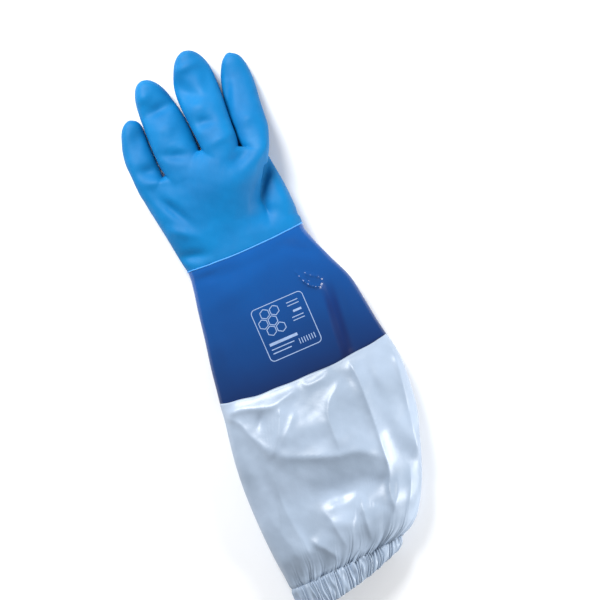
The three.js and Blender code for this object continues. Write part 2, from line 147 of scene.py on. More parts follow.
# Soft unevenness of each skin: rise and size of the waves in millimetres, and their seed
HAND_UNEVEN = ((0.22, 26, 3), (0.1, 9, 4))
GAUNTLET_UNEVEN = ((0.35, 55, 11), (0.12, 18, 12))
BEAD_UNEVEN = ((0.12, 12, 8),)
SEAM_UNEVEN = ((0.6, 26, 35),)
CLOTH_UNEVEN = ((0.9, 60, 31), (0.35, 22, 32), (0.1, 9, 33))
DRIFT_WAVES = 10

SIDES = (("left", -1), ("right", 1))


def table(columns, *lines):
    """A short table as one array for each named column."""
    return dict(zip(columns.split(), np.array(lines, float).T, strict=True))


def fold(left, right, crest, fade, rise, *path):
    """A fold along a path of points."""
    return {"path": path, "left": left, "right": right, "crest": crest, "fade": fade, "rise": rise}


# The palm: how far along the hand, both edges as shares of the width there, and the share of the height
PALM = table(
    "along left right height",
    (-0.06, 0.509, 0.484, 1),
    (-0.016, 0.509, 0.484, 1),
    (0.043, 0.524, 0.474, 1),
    (0.108, 0.53, 0.325, 1),
    (0.173, 0.53, 0.25, 1),
    (0.238, 0.53, 0.275, 1),
    (0.303, 0.53, 0.33, 1),
    (0.368, 0.532, 0.385, 0.96),
    (0.432, 0.53, 0.385, 0.84),
    (0.468, 0.522, 0.36, 0.66),
    (0.488, 0.49, 0.33, 0.46),
    (0.5, 0.46, 0.3, 0.27),
    (0.505, 0.45, 0.28, 0.09),
)

# Where along the hand the knuckles' full width is reached, and from where their row is domed
KNUCKLES_ALONG = 0.476
KNUCKLES_FROM = 0.368

# Each finger: how far along the hand, its middle as a share of the knuckle width, its width as a share
# of the finger width; root and tip are how high its back stands, and thick its height, as shares of the
# finger height
LITTLE = table(
    "along x width",
    (0.36, -0.436, 0.5),
    (0.42, -0.441, 0.62),
    (0.47, -0.441, 0.66),
    (0.541, -0.442, 0.67),
    (0.605, -0.444, 0.68),
    (0.67, -0.437, 0.636),
    (0.719, -0.425, 0.57),
    (0.757, -0.414, 0.5),
    (0.784, -0.408, 0.35),
    (0.797, -0.408, 0.14),
)
RING = table(
    "along x width",
    (0.41, -0.1815, 0.8),
    (0.497, -0.181, 0.96),
    (0.568, -0.182, 0.997),
    (0.649, -0.182, 0.997),
    (0.73, -0.185, 0.954),
    (0.811, -0.194, 0.854),
    (0.87, -0.199, 0.745),
    (0.91, -0.203, 0.59),
    (0.939, -0.208, 0.38),
    (0.951, -0.21, 0.14),
)
MIDDLE = table(
    "along x width",
    (0.41, 0.1115, 0.66),
    (0.497, 0.114, 0.833),
    (0.568, 0.114, 0.872),
    (0.649, 0.1146, 0.928),
    (0.73, 0.116, 0.987),
    (0.811, 0.119, 1),
    (0.87, 0.126, 0.955),
    (0.922, 0.134, 0.82),
    (0.962, 0.137, 0.64),
    (0.989, 0.1385, 0.41),
    (TIP_SHARE, 0.1385, 0.14),
)
INDEX = table(
    "along x width",
    (0.33, 0.322, 0.3),
    (0.4, 0.341, 0.54),
    (0.486, 0.357, 0.735),
    (0.541, 0.3675, 0.75),
    (0.622, 0.3715, 0.79),
    (0.703, 0.385, 0.8),
    (0.757, 0.3965, 0.77),
    (0.811, 0.407, 0.69),
    (0.854, 0.416, 0.575),
    (0.888, 0.421, 0.41),
    (0.911, 0.419, 0.14),
)
FINGERS = (
    {"rows": LITTLE, "root": 1.17, "tip": 0.8, "thick": 0.9},
    {"rows": RING, "root": 1.6, "tip": 0.9, "thick": 1.02},
    {"rows": MIDDLE, "root": 2.05, "tip": 0.98, "thick": 1.02},
    {"rows": INDEX, "root": 1.86, "tip": 0.72, "thick": 0.88},
)

# The thumb, folded under the palm: its height is a share of the thumb's own
THUMB = table(
    "along x width height",
    (-0.03, 0.29, 0.56, 1.1),
    (0.03, 0.297, 0.68, 1.36),
    (0.085, 0.292, 0.76, 1.46),
    (0.2, 0.272, 0.84, 1.4),
    (0.3, 0.242, 0.92, 1.2),
    (0.37, 0.222, 0.97, 1.02),
    (0.45, 0.192, 1, 0.95),
    (0.53, 0.165, 0.9, 0.92),
    (0.59, 0.15, 0.68, 0.8),
    (0.625, 0.143, 0.4, 0.56),
    (0.638, 0.14, 0.05, 0.2),
)

# The gauntlet below the wrist: how far down, how much of the flare each edge has taken, and the share
# of the height
GAUNTLET = table(
    "along left right height",
    (0, 0, 0, 1.1),
    (0.13, 0.09, 0.1, 1.08),
    (0.3, 0.29, 0.36, 1.03),
    (0.5, 0.49, 0.69, 1),
    (0.7, 0.72, 0.82, 1),
    (0.87, 0.88, 0.91, 1),
    (1, 1, 1, 1),
    (1.06, 1.0, 1.0, 1),
)

# The sleeve below the seam: how far down each edge is, how far out from the line between the seam's and
# the cuff's corner as a share of the sleeve's width, and the share of the height
SLEEVE = table(
    "left_along right_along left right height",
    (0, 0, 0, 0, 0.82),
    (0.09, 0.09, 0.008, 0.046, 0.9),
    (0.19, 0.18, 0.022, 0.08, 0.98),
    (0.31, 0.29, 0.036, 0.108, 1),
    (0.44, 0.42, 0.043, 0.134, 0.96),
    (0.57, 0.55, 0.041, 0.137, 0.93),
    (0.7, 0.68, 0.034, 0.136, 0.95),
    (0.82, 0.8, 0.0225, 0.1235, 1),
    (0.93, 0.93, 0.0095, 0.084, 1),
    (1, 1, 0, 0, 1),
)

# Round dents and bumps in the hand's back: middle, half length and half width in millimetres, the turn
# of the long side from +X in degrees, and the rise
HAND_DENTS = table(
    "x y long wide turn rise",
    (27, 73, 18, 10, 18, -5.0),
    (10, 115, 12, 8, -18, -4.0),
    (-27, 99, 18, 7, -25, -3.2),
    (-24, 143, 18, 8, 5, -3.6),
    (-24, 124, 14, 12, 0, 2.4),
    (-33, 159, 12, 9, 0, 2.6),
    (5, 150, 20, 10, -64, -4.4),
    (27, 152, 18, 7, 80, -2.0),
    (15, 169, 15, 7, 0, 2.8),
    (11, 131, 11, 9, 0, 1.8),
    (-47, 55, 24, 6.5, -62, -4.0),
    (-47, 10, 17, 7.5, -20, -4.2),
    (-49, 33, 17, 7, -36, 2.4),
    (-49, 83, 15, 6, -14, 2.4),
    (-55, 96, 12, 8, -14, -3.2),
    (20, 95, 18, 6.5, 4, 1.8),
    (48, 104, 10, 9, 0, 1.8),
    (39, 128, 24, 4.5, 68, -2.2),
    (-52, 128, 12, 8, 70, -1.6),
    (-10, 52, 34, 26, 60, 1.2),
    (50, 20, 24, 10, 80, 2.0),
)

# Where the backs of neighbouring forms are blended into each other: middle, half length, half width and
# turn as above, and the share of the full blending
BLENDS = table(
    "x y long wide turn rise",
    (-28, 86, 52, 17, 22, 1),
    (36, 86, 38, 16, 8, 1),
    (44, 10, 20, 12, 0, 0.6),
)
BLEND_ROUNDS = 160

# Folds: the widths over which each falls off to the left and to the right of its path, how round its
# crest is, the share of its length that each end takes to fade, its rise, and the points of its path.
# Lengths are in millimetres
HAND_FOLDS = (
    fold(5, 12, 1.2, 0.2, 2.4, (58, 88), (51, 72), (41.5, 58), (32, 49), (23.5, 41), (17, 33),
         (14, 20)),
    fold(5, 12, 2.2, 0.26, -5.2, (52, 71), (46.5, 60), (39.5, 47), (33, 34.5), (29, 20), (26, 2)),
)

# Dents and bumps of the gauntlet in the same columns. The small ones are a cluster of wrinkles below
# the wrist
GAUNTLET_DENTS = table(
    "x y long wide turn rise",
    (42, -53, 14, 10, -30, 1.4),
    (46, -24, 26, 9, -35, -2.2),
    (-42, -12, 18, 8, -10, -1.2),
    (-25, -34, 40, 13, 10, 1.6),
    (-20, -95, 50, 18, -6, -1.4),
    (66, -80, 30, 8, 80, 1.2),
    (-58, -90, 34, 9, 82, 1.0),
    (32, -41, 1.7, 1.7, 0, 0.9),
    (33.5, -46, 2.0, 2.0, 0, 1.1),
    (35.5, -51, 2.2, 2.0, -20, 1.2),
    (38.5, -55.5, 2.6, 2.0, -30, 1.3),
    (42, -58.5, 2.8, 2.0, -20, 1.3),
    (45.5, -60, 2.4, 2.0, 0, 1.2),
    (48.5, -58, 1.8, 1.6, 0, 0.8),
    (50.5, -54, 1.8, 1.6, 0, 0.8),
    (40, -45.5, 2.6, 1.8, -30, 1.1),
    (44, -48.5, 2.8, 1.8, -30, 1.2),
    (48, -51.5, 2.4, 1.8, -24, 1.1),
)

# The wrinkles, and then the valley and the ridge that run down to the seam
GAUNTLET_FOLDS = (
    fold(2.0, 1.6, 0.3, 0.3, 0.8, (33, -44), (35, -51), (39, -57), (44, -60), (48, -58)),
    fold(1.8, 1.4, 0.3, 0.35, 0.7, (38, -45), (43, -49), (49, -52), (51, -56)),
    fold(1.0, 1.0, 0.3, 0.3, -0.8, (36, -47), (40, -53)),
    fold(8, 4, 2.5, 0.36, -3.6, (54, -46), (50, -90), (44.5, -142)),
    fold(3, 6, 1.2, 0.3, 1.4, (47, -64), (42, -92), (38, -128)),
)

# Round hollows and bulges of the cloth, in the same columns
CLOTH_DENTS = table(
    "x y long wide turn rise",
    (-15, -235, 46, 18, -14, -5.6),
    (22, -240, 22, 11, -30, -2.8),
    (-20, -262, 15, 9, -8, 3.4),
    (-66, -205, 40, 10, -82, -2.0),
    (-50, -150, 10, 6, 60, -2.4),
    (56, -158, 26, 7, -88, -2.0),
    (66, -212, 38, 14, -78, 4.2),
    (-14, -172, 30, 12, -12, 1.8),
)

# The long folds of the cloth, from those near the seam to those that run into the cuff
CLOTH_FOLDS = (
    fold(8, 4, 0.6, 0.1, 4.0, (43, -128), (45, -150), (44, -170), (41, -208), (38, -234), (30, -257),
         (29, -275)),
    fold(9, 5, 0.9, 0.16, 4.6, (84, -132), (83, -150), (80, -171), (75, -199), (71, -222), (66, -240)),
    fold(14, 5, 0.9, 0.2, 3.4, (34, -142), (25, -149), (14, -157), (8, -167), (6, -180), (5, -204)),
    fold(26, 22, 2, 0.22, 8.5, (-66, -180), (-53, -183), (-28, -194), (2, -205), (18, -208), (35, -222),
         (44, -234)),
    fold(7, 3.5, 0.8, 0.34, 2.6, (-53, -183), (-28, -194), (2, -205), (18, -208), (36, -222)),
    fold(3, 12, 1.2, 0.35, 2.2, (-36, -240), (-28, -244), (-14, -247), (4, -247), (12, -252)),
    fold(6, 4, 0.5, 0.25, 1.8, (-33, -243), (-29, -252), (-26, -270), (-23, -288)),
    fold(9, 3, 0.8, 0.34, 3.0, (12, -248), (5, -252), (2, -262), (0, -276), (-1, -296)),
    fold(9, 4, 0.7, 0.2, 3.2, (-84, -132), (-77, -137), (-70, -144), (-64, -159), (-57, -175),
         (-55, -186)),
    fold(4, 9, 0.7, 0.22, 3.0, (-26, -140), (-31, -149), (-37, -161), (-43, -171), (-52, -181),
         (-60, -184)),
    fold(7, 4, 0.8, 0.3, 2.0, (-16, -152), (-24, -160), (-34, -170), (-44, -178)),
    fold(6, 4, 1.4, 0.16, 3.6, (-82, -133), (-62, -134), (-41, -141), (-15, -138), (-3, -133)),
    fold(2.5, 4, 0.8, 0.2, 2.6, (-6, -130), (0, -136), (12, -136.5), (28, -130)),
    fold(5, 12, 1.2, 0.2, 2.4, (-58, -185), (-62, -223), (-61, -245), (-58, -264), (-58, -290)),
    fold(8, 6, 2, 0.3, 2.0, (-80, -215), (-76, -240), (-70, -265), (-66, -294)),
    fold(8, 3, 0.6, 0.25, 3.0, (-52, -264), (-48, -271), (-41, -280), (-33, -294)),
    fold(8, 4, 0.7, 0.25, 3.0, (44, -240), (38, -255), (28, -270), (16, -286), (9, -296)),
    fold(5, 5, 0.7, 0.25, 2.6, (58, -236), (48, -262), (34, -282), (22, -296)),
)


def linear(red, green, blue):
    """An sRGB colour given in steps of 255 as linear light, with full opacity."""
    parts = np.array([red, green, blue]) / 255
    light = np.where(parts > 0.04045, ((parts + 0.055) / 1.055) ** 2.4, parts / 12.92)
    return (*light.tolist(), 1.0)


def smooth(value, start, end):
    """A step that eases from 0 at start to 1 at end: t * t * (3 - 2 t)."""
    t = np.clip((np.asarray(value, float) - start) / (end - start), 0, 1)
    return t * t * (3 - 2 * t)


def mixed(start, end, share):
    """The value a share of the way from start to end."""
    return start + (end - start) * share


def smooth_rows(rows, count, shares=None):
    """Reads every column of a table at evenly spaced row numbers, or at given shares of them, on the
    cubic curve that passes through each row with the mean slope of its neighbours."""
    values = np.stack(list(rows.values()), axis=1)
    slopes = np.gradient(values, axis=0)
    place = (np.linspace(0, 1, count) if shares is None else shares) * (len(values) - 1)
    low = np.minimum(place.astype(int), len(values) - 2)
    t = (place - low)[:, None]
    held = (2 * t**3 - 3 * t**2 + 1) * values[low] + (3 * t**2 - 2 * t**3) * values[low + 1]
    turned = (t**3 - 2 * t**2 + t) * slopes[low] + (t**3 - t**2) * slopes[low + 1]
    return dict(zip(rows, (held + turned).T, strict=True))


def curve_through(points, count):
    """A smooth line of count points through a few given ones: the cubic curve over the running length
    between them, with the mean slope at each."""
    points = np.array(points, float)
    run = np.concatenate([[0], np.cumsum(np.hypot(*np.diff(points, axis=0).T))])
    slopes = np.gradient(points, run, axis=0)
    place = np.linspace(0, run[-1], count)
    low = np.clip(np.searchsorted(run, place, "right") - 1, 0, len(run) - 2)
    long = (run[low + 1] - run[low])[:, None]
    t = (place - run[low])[:, None] / long
    held = (2 * t**3 - 3 * t**2 + 1) * points[low] + (3 * t**2 - 2 * t**3) * points[low + 1]
    return held + long * ((t**3 - 2 * t**2 + t) * slopes[low] + (t**3 - t**2) * slopes[low + 1])


def oval(turns):
    """The unit oval: the cosine and the sine of each turn, to the signed power 2 / OVAL_POWER."""
    cosine, sine = np.cos(turns), np.sin(turns)
    power = 2 / OVAL_POWER
    return np.sign(cosine) * np.abs(cosine) ** power, np.sign(sine) * np.abs(sine) ** power


def denser_shares(count, middle, width, gain):
    """Shares from 0 to 1 that lie closer round the middle: their density is 1 + gain times a bell
    curve."""
    fine = np.linspace(0, 1, 2001)
    run = np.cumsum(1 + gain * np.exp(-(((fine - middle) / width) ** 2)))
    return np.interp(np.linspace(run[0], run[-1], count), run, fine)


def even_turns(count, width, height, emphasis=1.0, focus=0.0, gain=0.0):
    """Turns that space points evenly along an oval of that width and height, with the upper side
    emphasis times as dense as the underside and up to 1 + gain times as dense again round the focus, a
    share of the half width. They are read off the running length of a fine oval."""
    fine = np.linspace(0, 2 * math.pi, 6001)
    u, v = oval(fine)
    steps = np.hypot(np.diff(u) * width / 2, np.diff(v) * height / 2)
    middle = (v[1:] + v[:-1]) / 2
    steps *= mixed(1, emphasis, smooth(middle, -0.6, 0.2))
    across = (u[1:] + u[:-1]) / 2
    steps *= 1 + gain * np.exp(-(((across - focus) / 0.15) ** 2)) * (middle > 0)
    run = np.concatenate([[0], np.cumsum(steps)])
    return np.interp(np.arange(count) * run[-1] / count, run, fine)


def lying_rings(left, right, height, turns, inset=0.0, bow=0.0, lift=None, floor=0.0):
    """Flattened rings that lie on the table, one for each row.

    A point is the middle of the row's two corners plus u times their half span. Along the glove the bow
    times (1 - u * u) is taken off. Its height is (0.5 - PRESSED / 2) of the row's height plus v times
    (0.5 + PRESSED / 2) of it, plus the lift, and no point lies below the floor.
    """
    u, v = oval(turns)
    half = (right - left) / 2
    middle = left + half
    span = np.hypot(half[:, 0], half[:, 1])
    half = half * np.maximum((span - inset) / span, 0.01)[:, None]
    x = middle[:, 0, None] + half[:, 0, None] * u
    y = middle[:, 1, None] + half[:, 1, None] * u - np.reshape(bow, (-1, 1)) * (1 - u * u)
    rise, flatten = lift(x, y) if lift else (0.0, 0.0)
    tall = np.reshape(height, (-1, 1))
    up = np.maximum(tall * (0.5 + PRESSED / 2) * (1 - flatten) - inset, 0.2)
    z = tall * (0.5 - PRESSED / 2) + rise + v * up
    return np.stack([x, y, np.maximum(z, floor + inset)], axis=-1)


def dent_rise(dents, x, y):
    """The sum of round dents at each point: rise times exp(-2 (a * a + b * b)), where a and b are the
    distances along and across the turned dent over its half length and half width."""
    total = np.zeros_like(x)
    for middle_x, middle_y, long, wide, turn, rise in zip(*dents.values(), strict=True):
        cosine, sine = math.cos(math.radians(turn)), math.sin(math.radians(turn))
        a = ((x - middle_x) * cosine + (y - middle_y) * sine) / long
        b = ((y - middle_y) * cosine - (x - middle_x) * sine) / wide
        total += rise * np.exp(-2 * (a * a + b * b))
    return total


def fold_rise(fold, x, y, pieces=56):
    """The rise of one fold at each point: exp(-distance / width) from the path, with the width of that
    side, a crest rounded by sqrt(distance squared + crest squared) - crest, and both ends eased out."""
    line = curve_through(fold["path"], pieces + 1)
    start, run = line[:-1], np.diff(line, axis=0)
    place = np.stack([x, y], axis=-1)[..., None, :] - start
    share = np.clip((place * run).sum(-1) / (run * run).sum(-1), 0, 1)
    away = place - share[..., None] * run
    distance = np.hypot(away[..., 0], away[..., 1])
    nearest = distance.argmin(-1)[..., None]
    near = np.take_along_axis(distance, nearest, -1)[..., 0]
    side = np.take_along_axis(run[:, 0] * away[..., 1] - run[:, 1] * away[..., 0], nearest, -1)[..., 0]
    along = (nearest[..., 0] + np.take_along_axis(share, nearest, -1)[..., 0]) / pieces
    width = np.where(side > 0, fold["left"], fold["right"])
    body = np.exp(-(np.sqrt(near * near + fold["crest"] ** 2) - fold["crest"]) / width)
    return fold["rise"] * body * smooth(along, 0, fold["fade"]) * (1 - smooth(along, 1 - fold["fade"], 1))


def unevenness(points, waves):
    """The sum of soft drifts, each given by its rise, its size and its seed."""
    return sum(rise * drift(points, size, seed) for rise, size, seed in waves)


def folds_rise(folds, x, y, reach=60.0):
    """The sum of all folds, each worked out only for the points near its path."""
    total = np.zeros_like(x)
    for fold in folds:
        path = np.array(fold["path"], float)
        low, high = path.min(0) - reach, path.max(0) + reach
        near = (x > low[0]) & (x < high[0]) & (y > low[1]) & (y < high[1])
        total[near] += fold_rise(fold, x[near], y[near])
    return total


def drift(points, size, seed):
    """A seeded soft unevenness between about -1 and 1: a sum of sine waves of about that size, which
    run in random directions through space."""
    chance = np.random.default_rng(seed)
    total = np.zeros(points.shape[:-1])
    for _ in range(DRIFT_WAVES):
        way = chance.normal(size=3)
        way *= 2 * math.pi / (np.linalg.norm(way) * size * chance.uniform(0.7, 1.5))
        total += np.sin(points @ way + chance.uniform(0, 2 * math.pi))
    return total / 4


def grid_normals(points):
    """Unit normals of a grid whose columns close on themselves: the cross product of its two
    directions."""
    across = np.roll(points, -1, axis=1) - np.roll(points, 1, axis=1)
    down = np.gradient(points, axis=0)
    normals = np.cross(across, down)
    normals /= np.maximum(np.linalg.norm(normals, axis=-1, keepdims=True), 1e-9)
    outward = (normals * (points - points.mean(axis=1, keepdims=True))).sum() > 0
    return normals if outward else -normals


def grid_faces(rows, columns, wrap):
    """The four corners of each quad of a grid, row by row."""
    index = np.arange(rows * columns).reshape(rows, columns)
    following = np.roll(index, -1, axis=1) if wrap else index[:, 1:]
    index = index if wrap else index[:, :-1]
    quads = np.stack([index[:-1], following[:-1], following[1:], index[1:]], axis=-1)
    return quads.reshape(-1, 4)


def mesh_from(name, points, faces, uv=None):
    """An object made of points in millimetres and four-cornered faces, with an optional UV for each
    corner."""
    mesh = bpy.data.meshes.new(name)
    mesh.vertices.add(len(points))
    mesh.vertices.foreach_set("co", (points * MM).astype(np.float32).ravel())
    mesh.loops.add(faces.size)
    mesh.loops.foreach_set("vertex_index", faces.astype(np.int32).ravel())
    mesh.polygons.add(len(faces))
    mesh.polygons.foreach_set("loop_start", np.arange(0, faces.size, faces.shape[1], dtype=np.int32))
    if uv is not None:
        layer = mesh.uv_layers.new(name="cut")
        layer.uv.foreach_set("vector", uv.astype(np.float32).ravel())
    mesh.update(calc_edges=True)
    mesh.validate()
    mesh.shade_smooth()
    made = bpy.data.objects.new(name, mesh)
    bpy.context.scene.collection.objects.link(made)
    return made


def grid_piece(name, points, wrap=True, cut=(1.0, 1.0)):
    """A grid of points as a mesh whose faces look outwards. Its UV map is the flat cut in metres: cut's
    width goes round the columns and its length down the rows."""
    rows, columns = points.shape[:2]
    faces = grid_faces(rows, columns, wrap)
    steps = columns if wrap else columns - 1
    column = np.tile(np.arange(steps), rows - 1)
    row = np.repeat(np.arange(rows - 1), steps)
    corner_columns = np.stack([column, column + 1, column + 1, column], axis=1) * cut[0] / steps
    corner_rows = np.stack([row, row, row + 1, row + 1], axis=1) * cut[1] / (rows - 1)
    uv = np.stack([corner_columns, corner_rows], axis=-1)
    flat = points.reshape(-1, 3)
    a, b, c = flat[faces[:, 0]], flat[faces[:, 1]], flat[faces[:, 2]]
    normals = np.cross(b - a, c - a)
    inside = (normals * (a - points.mean(axis=(0, 1)))).sum() < 0 if wrap else normals[:, 2].sum() < 0
    if inside:
        faces, uv = faces[:, ::-1], uv[:, ::-1]
    return mesh_from(name, flat, faces, uv.reshape(-1, 2))


def join_grids(grids):
    """Several grids, each given by its points and its faces, as one list of points and one of faces."""
    points, faces, first = [], [], 0
    for grid, corners in grids:
        points.append(grid.reshape(-1, grid.shape[-1]))
        faces.append(corners + first)
        first += len(points[-1])
    return np.concatenate(points), np.concatenate(faces)


def settle_modifiers(piece):
    """Replaces a piece's mesh by the one that its modifiers make."""
    shaped = piece.evaluated_get(bpy.context.evaluated_depsgraph_get())
    mesh = bpy.data.meshes.new_from_object(shaped)
    mesh.name = piece.name
    piece.modifiers.clear()
    old = piece.data
    piece.data = mesh
    bpy.data.meshes.remove(old)


def add_wall(piece, thickness):
    """Gives a shell its wall, inwards from its outer surface, and keeps it on the table."""
    wall = piece.modifiers.new("wall", "SOLIDIFY")
    wall.thickness = thickness * MM
    wall.offset = -1
    wall.use_even_offset = False
    wall.use_rim = True
    settle_modifiers(piece)
    points = read_points(piece.data)
    points[:, 2] = np.maximum(points[:, 2], 0)
    write_points(piece.data, points)


def finish_piece(piece, material, node=None):
    """Gives a piece its material and says where it belongs in the frame."""
    piece.data.materials.clear()
    piece.data.materials.append(material)
    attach(piece, BODY)
    if node:
        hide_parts(node)


# Node groups and materials
def feed(tree, socket, value):
    """Links a socket to another one, or sets it to a value."""
    if isinstance(value, bpy.types.NodeSocket):
        tree.links.new(value, socket)
    else:
        socket.default_value = value


def feed_named(tree, node, inputs):
    """Feeds a node's inputs by name, with _ for a space, and gives its outputs."""
    for key, value in inputs.items():
        feed(tree, node.inputs[key.replace("_", " ")], value)
    return node.outputs


def add_node(tree, kind, **inputs):
    """The outputs of a new shader node whose inputs are fed by name."""
    return feed_named(tree, tree.nodes.new(kind), inputs)


def remap(tree, value, start=0.0, end=1.0, low=0.0, high=1.0, kind="LINEAR"):
    """A value moved from the range start to end into the range low to high."""
    node = tree.nodes.new("ShaderNodeMapRange")
    node.interpolation_type = kind
    inputs = {"Value": value, "From_Min": start, "From_Max": end, "To_Min": low, "To_Max": high}
    return feed_named(tree, node, inputs)["Result"]


def noise(tree, place, scale, detail, rough):
    """The value of a noise texture."""
    return add_node(
        tree, "ShaderNodeTexNoise", Vector=place, Scale=scale, Detail=detail, Roughness=rough
    )["Fac"]


def calculate(tree, operation, *values):
    """A Math node on sockets or numbers."""
    node = tree.nodes.new("ShaderNodeMath")
    node.operation = operation
    for socket, value in zip(node.inputs, values, strict=False):
        feed(tree, socket, value)
    return node.outputs[0]


def blend_colours(tree, share, first, second, kind="MIX"):
    """The second colour mixed or multiplied into the first by a share."""
    node = tree.nodes.new("ShaderNodeMix")
    node.data_type = "RGBA"
    node.blend_type = kind
    for place, value in ((0, share), (6, first), (7, second)):
        feed(tree, node.inputs[place], value)
    return node.outputs[2]


def start_group(name, inputs, outputs):
    """An empty node group with a Vector input, inputs by name and default, and named outputs."""
    tree = bpy.data.node_groups.new(name, "ShaderNodeTree")
    tree.interface.new_socket(name="Vector", in_out="INPUT", socket_type="NodeSocketVector")
    for label, default in inputs.items():
        kind = "NodeSocketFloat" if isinstance(default, float) else "NodeSocketColor"
        tree.interface.new_socket(name=label, in_out="INPUT", socket_type=kind).default_value = default
    for label in outputs:
        kind = "NodeSocketColor" if label == "Color" else "NodeSocketFloat"
        tree.interface.new_socket(name=label, in_out="OUTPUT", socket_type=kind)
    return tree, tree.nodes.new("NodeGroupInput").outputs, tree.nodes.new("NodeGroupOutput").inputs


def make_grain(name):
    """Fine uneven grain: a coarse and a fine noise added, both in shares of Size."""
    tree, given, out = start_group(name, {"Size": 0.001, "Fine": 0.5}, ("Height", "Mask"))
    scale = calculate(tree, "DIVIDE", 1.0, given["Size"])
    coarse = noise(tree, given["Vector"], scale, 2.0, 0.6)
    fine = noise(tree, given["Vector"], calculate(tree, "MULTIPLY", scale, 3.1), 1.0, 0.5)
    part = calculate(tree, "MULTIPLY", fine, given["Fine"])
    tree.links.new(calculate(tree, "ADD", coarse, part), out["Height"])
    tree.links.new(remap(tree, fine, 0.62, 0.74), out["Mask"])
    return tree


def make_mottle(name):
    """Uneven dye: two colours mixed by a soft noise of the given size."""
    inputs = {"Size": 0.03, "First": (1, 1, 1, 1), "Second": (0, 0, 0, 1)}
    tree, given, out = start_group(name, inputs, ("Color", "Share"))
    scale = calculate(tree, "DIVIDE", 1.0, given["Size"])
    share = remap(tree, noise(tree, given["Vector"], scale, 3.0, 0.55), 0.32, 0.68)
    tree.links.new(blend_colours(tree, share, given["First"], given["Second"]), out["Color"])
    tree.links.new(share, out["Share"])
    return tree


def make_painted_valley_shade(name):
    """A mask for painted shade along the gauntlet's valley: soft along a leaning line, 1 within Near of x
    = Middle + Lean (y + 0.09), 0 beyond Far, and fading in from Start to End down the glove. All lengths
    are in metres."""
    inputs = {"Middle": 0.0495, "Lean": 0.12, "Near": 0.003, "Far": 0.0085, "Start": -0.054, "End": -0.082}
    tree, given, out = start_group(name, inputs, ("Mask",))
    parts = add_node(tree, "ShaderNodeSeparateXYZ", Vector=given["Vector"])
    shift = calculate(tree, "MULTIPLY", calculate(tree, "ADD", parts["Y"], 0.09), given["Lean"])
    middle = calculate(tree, "ADD", given["Middle"], shift)
    away = calculate(tree, "ABSOLUTE", calculate(tree, "SUBTRACT", parts["X"], middle))
    across = remap(tree, away, given["Near"], given["Far"], 1.0, 0.0, "SMOOTHSTEP")
    down = remap(tree, parts["Y"], given["Start"], given["End"], kind="SMOOTHSTEP")
    tree.links.new(calculate(tree, "MULTIPLY", across, down), out["Mask"])
    return tree


def make_weave(name):
    """Plain weave over the flat cut: the product of two sine waves, one along each thread direction."""
    tree, given, out = start_group(name, {"Pitch": 0.0005}, ("Height",))
    turn = calculate(tree, "DIVIDE", math.pi, given["Pitch"])
    parts = add_node(tree, "ShaderNodeSeparateXYZ", Vector=given["Vector"])
    across, along = (
        calculate(tree, "SINE", calculate(tree, "MULTIPLY", parts[axis], turn)) for axis in "XY"
    )
    tree.links.new(calculate(tree, "MULTIPLY", across, along), out["Height"])
    return tree


def start_material(name):
    """A new material's tree, its Principled shader and its coordinates."""
    material = bpy.data.materials.new(name)
    material.use_nodes = True
    tree = material.node_tree
    return material, tree, tree.nodes["Principled BSDF"], tree.nodes.new("ShaderNodeTexCoord").outputs


def place_group(tree, name, make, **inputs):
    """The outputs of a node group placed with its own values. It is made the first time it is asked
    for."""
    node = tree.nodes.new("ShaderNodeGroup")
    node.node_tree = bpy.data.node_groups.get(name) or make(name)
    return feed_named(tree, node, inputs)


def grained(tree, place, size, fine):
    """Fine grain of that size."""
    return place_group(tree, "Fine Grain", make_grain, Vector=place, Size=size, Fine=fine)


def mottled(tree, place, size, first, second):
    """Two colours mixed unevenly in patches of that size."""
    colours = {"First": tuple(first), "Second": tuple(second)}
    return place_group(tree, "Mottled Dye", make_mottle, Vector=place, Size=size, **colours)


def bump(tree, shader, height, depth, strength):
    """Feeds a height through a Bump node into the shader's normal."""
    bumped = add_node(tree, "ShaderNodeBump", Height=height, Distance=depth, Strength=strength)
    tree.links.new(bumped["Normal"], shader.inputs["Normal"])


def vary_shine(tree, shader, share, low, high):
    """Lets the roughness run from low to high with a share."""
    tree.links.new(remap(tree, share, low=low, high=high), shader.inputs["Roughness"])


def coat_material(settings):
    """Matte sanded vinyl: mottled blue, fine grain and a few pale rubbed flecks."""
    material, tree, shader, coordinates = start_material("sanded_vinyl")
    place = coordinates["Object"]
    grain = grained(tree, place, 0.0011, 0.6)
    dye = mottled(tree, place, 0.035, settings.colour, settings.deep_colour)
    rubbed = calculate(tree, "MULTIPLY", grain["Mask"], 0.08)
    colour = blend_colours(tree, rubbed, dye["Color"], linear(120, 185, 240))
    tree.links.new(colour, shader.inputs["Base Color"])
    vary_shine(tree, shader, dye["Share"], 0.52, 0.62)
    shader.inputs["Specular IOR Level"].default_value = 0.22
    bump(tree, shader, grain["Height"], 0.0002, settings.grain)
    return material


